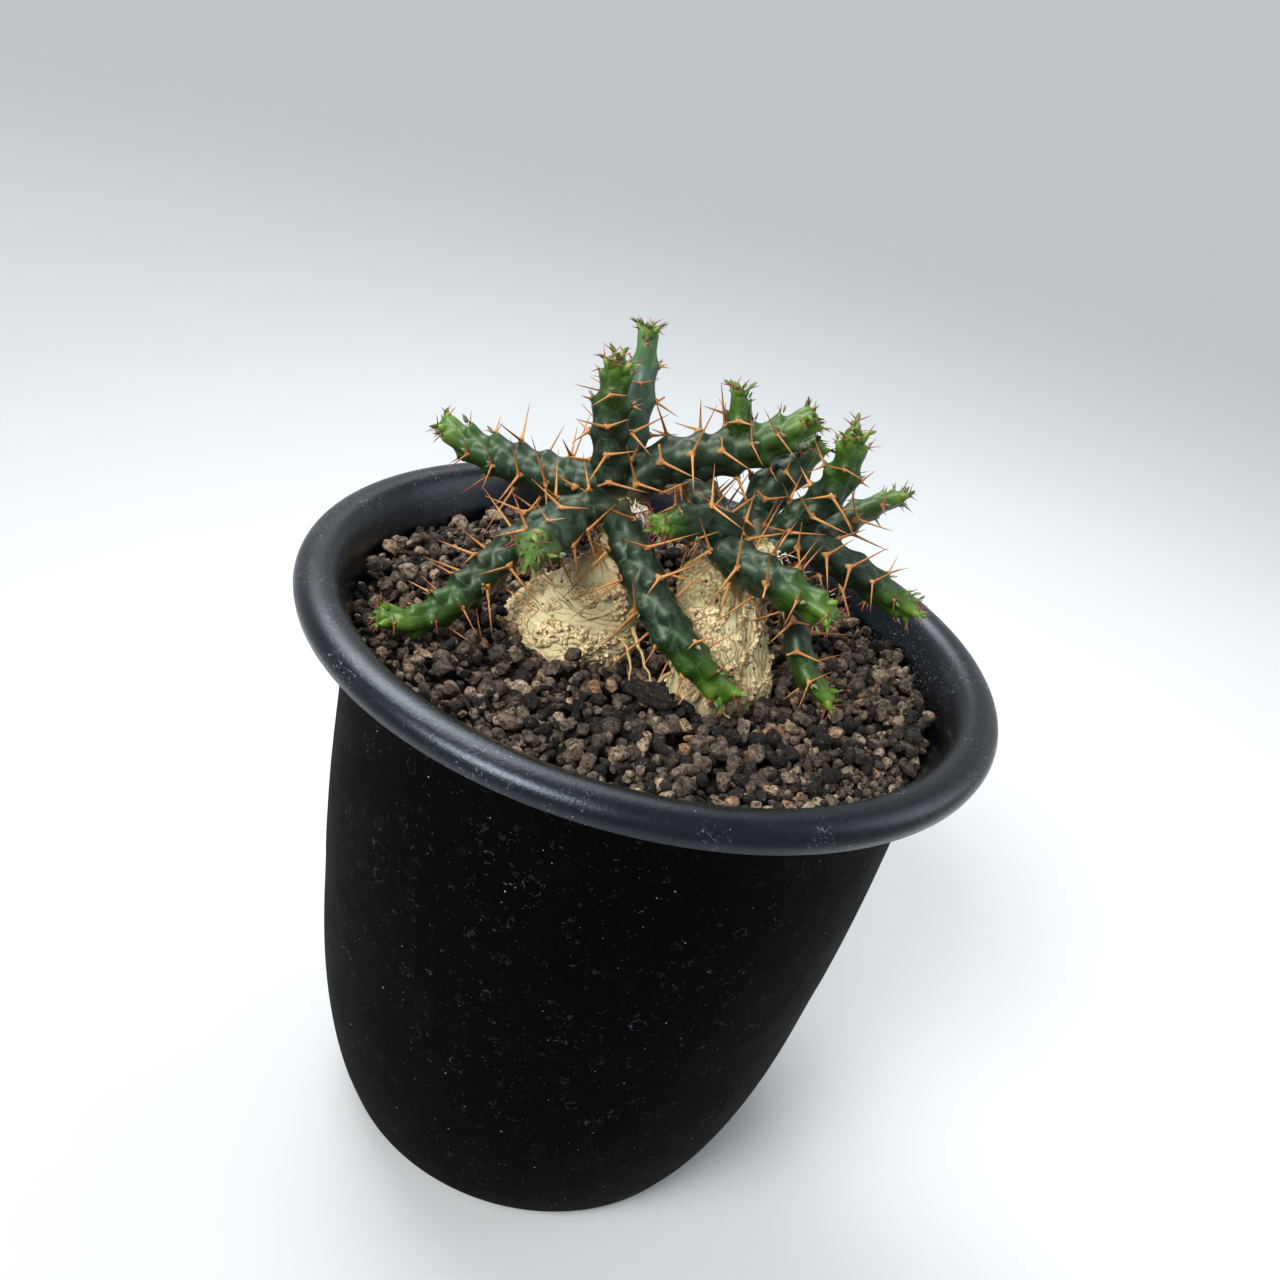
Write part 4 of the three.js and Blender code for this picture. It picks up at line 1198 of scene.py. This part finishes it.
def leaf_on_bump(leaves, seat, youth, draw):
    """The small leaf, green or withered, that stands over a young pair of spines."""
    top, out, tangent = seat
    if draw.random() > 0.8:
        return
    withered = 1.0 if draw.random() > youth - 0.35 else 0.0
    for _ in range(1 + int(draw.random() < 0.45)):
        sideways = np.cross(tangent, out) * (draw.random() - 0.5) * 1.3
        direction = unit(out + tangent * (0.3 + 0.7 * draw.random()) + sideways)
        length = 0.7 + 0.8 * draw.random()
        start = top - out * 0.35 + tangent * 0.45 + sideways * 0.3
        blade(leaves, start, direction, tangent, length, length * (0.5 + 0.3 * draw.random()), withered)


# Rootstocks

def cork_layers(grid, grain, seed):
    """Counts the fine layers of cork along the surface, and gives 0 on a smooth plate, rising to 1
    on the crumbly crust between plates. Both lie level, or run lengthwise."""
    if grain == "level":
        place = grid * [0.7, 0.7, 1.2]
        run = grid[..., 2] / 1.1
    else:
        place = grid * [1.3, 1.3, 0.45]
        run = (grid[..., 0] + 0.55 * grid[..., 1]) / 1.3
    run = run + 1.2 * wander(place, 6, seed) + 0.6 * wander(place, 2.5, seed + 1)
    run = run + 0.3 * wander(place, 1.1, seed + 2)
    wide = np.abs(wander(place, 4.4, seed + 3) + 0.4 * wander(place, 1.8, seed + 4))
    thin = np.abs(wander(place, 2.7, seed + 5) + 0.35 * wander(place, 1.1, seed + 6))
    amount = np.clip(0.55 + 1.1 * wander(grid, 5.5, seed + 7), 0, 1)
    crust = np.clip(1 - wide / 0.2, 0, 1) * (0.35 + 0.65 * amount)
    crust = np.maximum(crust, np.clip(1 - thin / 0.1, 0, 1) * 0.7 * amount)
    clump = np.clip(2.6 * wander(grid, 2.6, seed + 8) - 0.8, 0, 1)
    return run, np.maximum(crust, clump)


def bark(shape, rings, sides, rows, grain, seed, worn_from, scales):
    """A rootstock's flaky cork. grain says which way its plates run: level or lengthwise. scales is
    how many loose ones stand off its crusts."""
    table = np.array(rings, float)
    layer = 2.3 + (len(table) - 3.3) * np.linspace(0, 1, rows)
    layer[:BURIED_ROWS] = np.linspace(0, 2.2, BURIED_ROWS)
    height, x, y, wide, deep = (smooth_between(table[:, k], layer) for k in range(5))
    angle = round_angles(sides)[None]
    ripple = 1 + BARK_RIPPLE * np.sin(3 * angle + 1.9 * layer[:, None]) * np.cos(angle - layer[:, None])
    grid = np.stack([
        x[:, None] + wide[:, None] * ripple * np.cos(angle),
        y[:, None] + deep[:, None] * ripple * np.sin(angle),
        np.broadcast_to(height[:, None], (rows, sides)),
    ], axis=-1)
    upward = np.gradient(grid, axis=0)
    sideways = np.roll(grid, -1, axis=1) - np.roll(grid, 1, axis=1)
    normal = unit(np.cross(sideways, upward))
    run, crust = cork_layers(grid, grain, seed)
    rough = 0.5 * wander(grid, 1.2, seed + 9) + 0.35 * wander(grid, 3, seed + 10)
    for *middle, reach in CRUSTS:
        far = np.linalg.norm(grid - middle, axis=-1) / reach
        crust = np.maximum(crust, np.clip(1.5 * (1 - far + rough), 0, 1))
    past = run - np.floor(run)
    shingle = (1 - past) * np.clip(past / 0.15, 0, 1)
    lump = 0.45 * wander(grid, 6, seed + 13) + 0.22 * wander(grid, 2.2, seed + 14)
    crumb = 0.5 + 0.9 * wander(grid, 0.7, seed + 15) + 0.9 * wander(grid, 0.36, seed + 16)
    lift = lump + 0.2 * shingle + crust * (0.15 + 0.4 * crumb) - 0.22
    outside = grid + normal * lift[..., None]
    low = [x[0], y[0], height[0] - wide[0] / 2]
    high = [x[-1], y[-1], height[-1] + wide[-1] / 3]
    worn = np.clip((grid[..., 2] - worn_from + 1.6 * wander(grid, 3, seed + 17)) / 3, 0, 1)
    values = {"worn": worn, "layer": run, "crust": crust}
    fields = {name: np.concatenate([value.ravel(), value[0, :1], value[-1, :1]])
              for name, value in values.items()}
    shape.skin(outside, low, high, **fields)
    draw = np.random.default_rng(seed)
    loose = np.argwhere((crust > 0.5) & (grid[..., 2] > 101) & (grid[..., 2] < worn_from + 2))
    for row, side in loose[draw.integers(len(loose), size=scales)]:
        scale(shape, outside[row, side], normal[row, side], run[row, side], draw)


def scale(shape, centre, out, layer, draw):
    """A thin scale of cork with a broken outline, one edge of it off the surface."""
    sides = 7
    up = unit(out + unit(draw.normal(size=3)) * draw.uniform(0.2, 0.9))
    first, second = across(up)
    size = 0.25 + 0.4 * draw.random() ** 2
    angle = round_angles(sides)
    reach = size * (0.65 + 0.55 * draw.random(sides))
    flat = (reach * np.cos(angle))[:, None] * first + (reach * np.sin(angle))[:, None] * second
    over = centre + out * 0.12 + up * size * 0.3
    under = centre - out * 0.1 - up * 0.1
    rings = np.stack([under + flat * 0.8, over + flat])
    shape.skin(rings, under, over + up * 0.06, crust=1.0, layer=layer)


def smooth_between(values, place):
    """The table's values between its rows, on a curve that has no corners."""
    last = len(values) - 1
    padded = np.concatenate([[2 * values[0] - values[1]], values, [2 * values[-1] - values[-2]]])
    low = np.minimum(np.floor(place).astype(int), last - 1)
    part = place - low
    before, start, end, after = (padded[low + k] for k in range(4))
    return 0.5 * (
        2 * start + (end - before) * part + (2 * before - 5 * start + 4 * end - after) * part ** 2
        + (3 * start - before - 3 * end + after) * part ** 3
    )


def rootlet(shape, ends, seed):
    """A short root with a knobbly run and a blunt end."""
    start, end = (np.array(point, float) for point in ends)
    share = np.linspace(0, 1, 12)
    line = shaken(start + (end - start) * share[:, None], 1.8, seed, [0.45, 0.45, 0.25])
    radii = 0.68 * (1 - 0.45 * share) * (1 + 0.2 * wander(line, 0.7, seed + 5))
    radii[-1] *= 0.6
    shape.tube(line, radii, 9, layer=0.3, crust=0.3)


def rootstocks(cork):
    left = Shape()
    bark(left, LEFT_TUBER, 270, 190, "level", 3, worn_from=118, scales=480)
    left.piece("left_rootstock", [cork], "cork_bark", ["caudex_left"])
    right = Shape()
    bark(right, FRONT_TUBER, 190, 150, "lengthwise", 12, worn_from=114, scales=240)
    bark(right, RIGHT_TUBER, 190, 150, "lengthwise", 21, worn_from=118, scales=300)
    for k, ends in enumerate(ROOTLETS):
        rootlet(right, ends, 30 + 7 * k)
    right.piece("right_rootstocks", [cork], "cork_bark", ["caudex_right"])


# Gravel

def lump_forms(draw, count, cuts):
    """Several stones on a unit ball: flat breaks cut by random planes, then knobs and pits."""
    points, faces = ball(cuts)
    forms = []
    for k in range(count):
        planes = unit(draw.normal(size=(9, 3)))
        depths = 0.56 + 0.4 * draw.random(9)
        facing = points @ planes.T
        reach = np.where(facing > 0.15, depths / np.maximum(facing, 0.15), 9).min(axis=1)
        radius = np.minimum(reach, 1.12)
        radius = radius * (1 + 0.13 * wander(points, 0.7, k) + 0.13 * wander(points, 0.34, k + 50))
        forms.append(points * radius[:, None])
    return forms, faces


def turned_at_random(draw):
    """A random turn as a matrix of three rows."""
    spin = Matrix.Rotation(draw.random() * 2 * math.pi, 3, "Z")
    tip = Matrix.Rotation((draw.random() - 0.5) * 1.2, 3, "X")
    roll = Matrix.Rotation(draw.random() * 2 * math.pi, 3, "X")
    return np.array(spin @ tip @ roll)


def low_stems():
    """Points along the stems that come down to the gravel, with the stem's radius at each."""
    centres = []
    radii = []
    for stem in STEMS:
        centre, _ = StemPath(stem).along(np.linspace(0, 1, 60))
        low = centre[:, 2] < NEAR_BED
        centres.append(centre[low])
        radii.append(np.full(int(low.sum()), stem["radius"]))
    return np.concatenate(centres), np.concatenate(radii)


def grain_size(draw, x, y):
    """A grain's radius. They are finer by the rootstocks and along the front of the rim."""
    size = 0.45 + 0.35 * draw.random() if draw.random() < 0.62 else 0.8 + 0.65 * draw.random()
    by_rim = y < -8 and math.hypot(x, y) > 41
    by_root = in_tubers(np.array([[x, y, SOIL_LEVEL]]), 3, (LEFT_TUBER, FRONT_TUBER))[0]
    return size * (0.8 if by_rim or by_root else 1)


def grain_shade(draw):
    """Where a grain's colour falls, from near black through brown and tan to orange."""
    kind = draw.random()
    if kind < 0.3:
        return 0.2 * draw.random()
    if kind < 0.8:
        return 0.28 + 0.36 * draw.random()
    return 0.74 + 0.26 * draw.random()


def drop_grains(draw):
    """Drops grains one by one on a height map: each falls where the bed is low, then rolls to the
    lowest place around. Those that end up buried are left out."""
    middle = (np.arange(int(2 * MAP_REACH / MAP_CELL)) + 0.5) * MAP_CELL - MAP_REACH
    ground = np.stack(np.meshgrid(middle, middle, [SOIL_LEVEL], indexing="ij"), axis=-1).reshape(-1, 3)
    taken = in_tubers(ground, -0.3).reshape(len(middle), -1)
    level = np.full(taken.shape, BED_TOP - 0.3)
    stems, stem_radii = low_stems()
    grains = []
    for _ in range(GRAIN_COUNT):
        distance = (WALL_AT_SOIL - 0.5) * np.sqrt(draw.random(DROP_TRIES))
        angle = draw.random(DROP_TRIES) * 2 * np.pi
        spots = np.stack([distance * np.cos(angle), distance * np.sin(angle)], axis=-1)
        rows, columns = ((spots + MAP_REACH) / MAP_CELL).astype(int).T
        wish = level[rows, columns] + 9 * taken[rows, columns] + 0.6 * draw.random(DROP_TRIES)
        spot = spots[np.argmin(wish)]
        size = grain_size(draw, *spot)
        best = None
        for x, y in [spot, *(spot + draw.normal(size=(4, 2)))]:
            if math.hypot(x, y) + size * 0.8 > WALL_AT_SOIL:
                continue
            z, window, rise = rest_height(level, x, y, size)
            if best is None or z < best[0][2]:
                best = (np.array([x, y, z]), window, rise)
        if best is None:
            continue
        place, window, rise = best
        in_stem = np.any(np.linalg.norm(stems - place, axis=1) < stem_radii + size * 0.75)
        if in_stem or in_tubers(place[None], size * 0.2)[0]:
            taken[window] = True
            continue
        level[window] = np.maximum(level[window], place[2] + rise * 0.8)
        grains.append((place, size, window))
    return [(place, size) for place, size, window in grains
            if place[2] + 0.9 * size > np.mean(level[window]) - 0.5]


def rest_height(level, x, y, size):
    """The height at which a ball of that radius rests on the height map, and its footprint."""
    first = int((x - size + MAP_REACH) / MAP_CELL)
    second = int((y - size + MAP_REACH) / MAP_CELL)
    span = int(2 * size / MAP_CELL) + 1
    window = (slice(first, first + span), slice(second, second + span))
    across_x = (np.arange(first, first + span) + 0.5) * MAP_CELL - MAP_REACH - x
    across_y = (np.arange(second, second + span) + 0.5) * MAP_CELL - MAP_REACH - y
    inside = size ** 2 - across_x[:, None] ** 2 - across_y[None] ** 2
    rise = np.where(inside > 0, np.sqrt(np.maximum(inside, 0)), -9)
    rest = np.max(np.where(inside > size ** 2 * 0.2, level[window] + rise * 0.62, -1e9))
    return rest, window, rise


def gravel(bed_finish, grain_finish):
    draw = np.random.default_rng(GRAIN_SEED)
    bed(bed_finish)
    grains = drop_grains(draw)
    coarse = lump_forms(draw, 20, 3)
    fine = lump_forms(draw, 24, 2)
    pieces = {name: Shape() for name in ("coarse_left", "coarse_right", "fine_left", "fine_right")}
    for place, size in grains:
        large = size > COARSE_FROM
        shape = pieces[("coarse" if large else "fine") + ("_left" if place[0] < 0 else "_right")]
        forms, faces = coarse if large else fine
        form = forms[draw.integers(len(forms))]
        spans = size * np.array([1.08 + 0.36 * draw.random(), 0.9 + 0.2 * draw.random(), 0.86])
        points = (form * spans) @ turned_at_random(draw).T + place
        shape.add(points, [faces], shade=grain_shade(draw))
    for name, shape in pieces.items():
        made = shape.piece(f"gravel_{name}", [grain_finish], "gravel_grains")
        made.data.set_sharp_from_angle(angle=math.radians(GRAIN_CREASE))


def bed(finish):
    """The packed gravel under the loose grains: it fills the pot and has a low, rough top."""
    floor = FLOOR_TOP + 0.3
    wall = [[radius - 0.3, height] for radius, height in BODY_INSIDE[::-1]]
    top = [[radius, BED_TOP] for radius in np.linspace(48.5, 1, 40)]
    profile = np.array([[0.3, floor], [36, floor], *wall, [49.7, BED_TOP - 0.6], *top])
    rings = turned(profile, BED_SIDES)
    rings[..., 2] += np.where(rings[..., 2] >= BED_TOP - 0.1, 0.45 * wander(rings, 2.4, 2), 0)
    shape = Shape()
    shape.skin(rings, [0, 0, floor], [0, 0, BED_TOP])
    shape.piece("gravel_bed", [finish], "gravel_grains", ["gravel"])


# Loose small things on the crowns and the gravel

def tuft(shape, centre, size, draw):
    """A fleck of white wool."""
    share = np.linspace(0, 1, 5)[:, None]
    for _ in range(WOOL_STRANDS):
        start = centre + draw.normal(size=3) * size * 0.35
        direction = unit(draw.normal(size=3) + np.array([0, 0, 0.5]))
        bend = draw.normal(size=3) * 0.5
        line = start + direction * size * share + bend * size * share ** 2
        shape.tube(line, np.array([0.1, 0.12, 0.11, 0.09, 0.04]), 4)


def strand(shape, route, radius, red, seed):
    """A dry root or old flower stalk that lies on the gravel or the crown."""
    share = np.linspace(0, 1, 22)
    line, _ = StemPath({"route": route}).along(share)
    line = shaken(line, 1.3, seed, 0.3)
    radii = radius * (1 - 0.6 * share) * (1 + 0.25 * wander(line, 0.9, seed + 4))
    shape.tube(line, radii, 6, red=red)


def crown_knob(shape, centre, radii, seed):
    """A knob of woody tissue between the stems' feet."""
    points, faces = ball(4)
    rough = 1 + 0.22 * wander(points, 0.6, seed) + 0.1 * wander(points, 0.25, seed + 1)
    worn = np.clip(0.55 + 0.6 * wander(points, 0.5, seed + 2), 0, 1)
    points = np.array(centre) + points * rough[:, None] * np.array(radii)
    shape.add(points, [faces], worn=worn, layer=0.3, crust=0.4)


def loose_things(cork, wool, thread, grains):
    """Woody knobs, wool and dry threads on the crowns, dry roots and one dark lump on the gravel."""
    draw = np.random.default_rng(LOOSE_SEED)
    knobs = Shape()
    for centre, radii, seed in CROWN_KNOBS:
        crown_knob(knobs, centre, radii, seed)
    knobs.piece("woody_crowns", [cork], "cork_bark")
    flecks = Shape()
    for centre, size in WOOL:
        tuft(flecks, np.array(centre), size, draw)
    flecks.piece("wool_flecks", [wool], "cork_bark")
    threads = Shape()
    for k, route in enumerate(CROWN_THREADS):
        strand(threads, route, 0.16, 1.0, 40 + 3 * k)
    for k, route in enumerate(DRY_ROOTS):
        strand(threads, route, 0.36, 0.0, 60 + 3 * k)
    threads.piece("dry_threads", [thread], "cork_bark")
    lump = Shape()
    (form,), faces = lump_forms(draw, 1, 4)
    middle, radii = DARK_LUMP
    lump.add(form * radii + middle, [faces], shade=0.16)
    lump.piece("dark_lump", [grains], "gravel_grains")


# Studio

def camera():
    """The photograph's view."""
    right = Vector(CAMERA_RIGHT)
    up = Vector(CAMERA_UP)
    data = bpy.data.cameras.new("camera")
    data.sensor_width = SENSOR
    data.lens = SENSOR * FOCAL_SHARE
    data.clip_start = 0.01
    turn = Matrix([right, up, right.cross(up)]).transposed().to_4x4()
    made = placed("camera", data)
    made.matrix_world = Matrix.Translation(Vector(CAMERA_PLACE) * MM) @ turn
    bpy.context.scene.camera = made


def lamp(name, kind, power, colour, direction):
    """A lamp that shines along a direction. Its place and size come after."""
    data = bpy.data.lights.new(name, kind)
    data.energy = power
    data.color = colour
    made = placed(name, data)
    made.rotation_euler = Vector(direction).to_track_quat("-Z", "Y").to_euler()
    return made


def studio(floor_finish):
    mesh = bpy.data.meshes.new("floor")
    corners = [(-1, -1), (1, -1), (1, 1), (-1, 1)]
    mesh.from_pydata([(x * FLOOR_HALF, y * FLOOR_HALF, 0) for x, y in corners], [], [(0, 1, 2, 3)])
    mesh.materials.append(floor_finish)
    floor = placed("floor", mesh)
    world = bpy.data.worlds.new("studio")
    world.use_nodes = True
    background = world.node_tree.nodes["Background"]
    background.inputs["Color"].default_value = SKY_COLOUR
    background.inputs["Strength"].default_value = SKY_STRENGTH
    bpy.context.scene.world = world
    sun = lamp("sky", "SUN", SUN_POWER, SUN_COLOUR, SUN_DIRECTION)
    sun.data.angle = math.radians(SUN_WIDTH)
    for name, place, size, power, colour, beam in LAMPS:
        box = lamp(name, "AREA", power, colour, Vector(LIT_POINT) - Vector(place))
        box.location = place
        box.data.shape = "RECTANGLE"
        box.data.size, box.data.size_y = size
        box.data.spread = math.radians(beam)
    bpy.context.scene.view_settings.view_transform = "Standard"


def plant(skin, horn, leaf):
    """Every stem with its shoots, as a skin, its spines and its leaflets."""
    draw = np.random.default_rng(SPINE_SEED)
    rods = Clearance()
    limbs = {}
    for stem in STEMS:
        limbs[stem["name"]] = [StemPath(limb) for limb in (stem, *stem.get("shoots", []))]
        for path in limbs[stem["name"]]:
            rods.add_stem(stem["name"], path)
    for seed, (name, paths) in enumerate(limbs.items()):
        body = Shape()
        spines = Shape()
        leaves = Shape()
        for path in paths:
            stem_skin(path, body, seed)
            arm(path, name, spines, leaves, rods, draw)
            horns(path, body, leaves, spines, draw)
            rosette(path, leaves, spines, draw)
        body.piece(f"{name}_skin", [skin], "green_skin", [f"stem_{name}"])
        spines.piece(f"{name}_spines", [horn])
        leaves.piece(f"{name}_leaflets", [leaf], "green_skin")


def main():
    camera()
    studio(plain("floor_paper", 0.9, 0.1, 60, 3, (188, 192, 195), (191, 195, 198)))
    cork = cork_bark()
    grains = gravel_grains()
    wool = plain("wool_white", 0.9, 0.2, 0.6, 2, (196, 192, 182), (232, 232, 226))
    pot(pot_plastic(), rim_plastic())
    gravel(gravel_bed(), grains)
    rootstocks(cork)
    loose_things(cork, wool, dry_thread(), grains)
    plant(green_skin(), spine_horn(), leaf_green())


main()
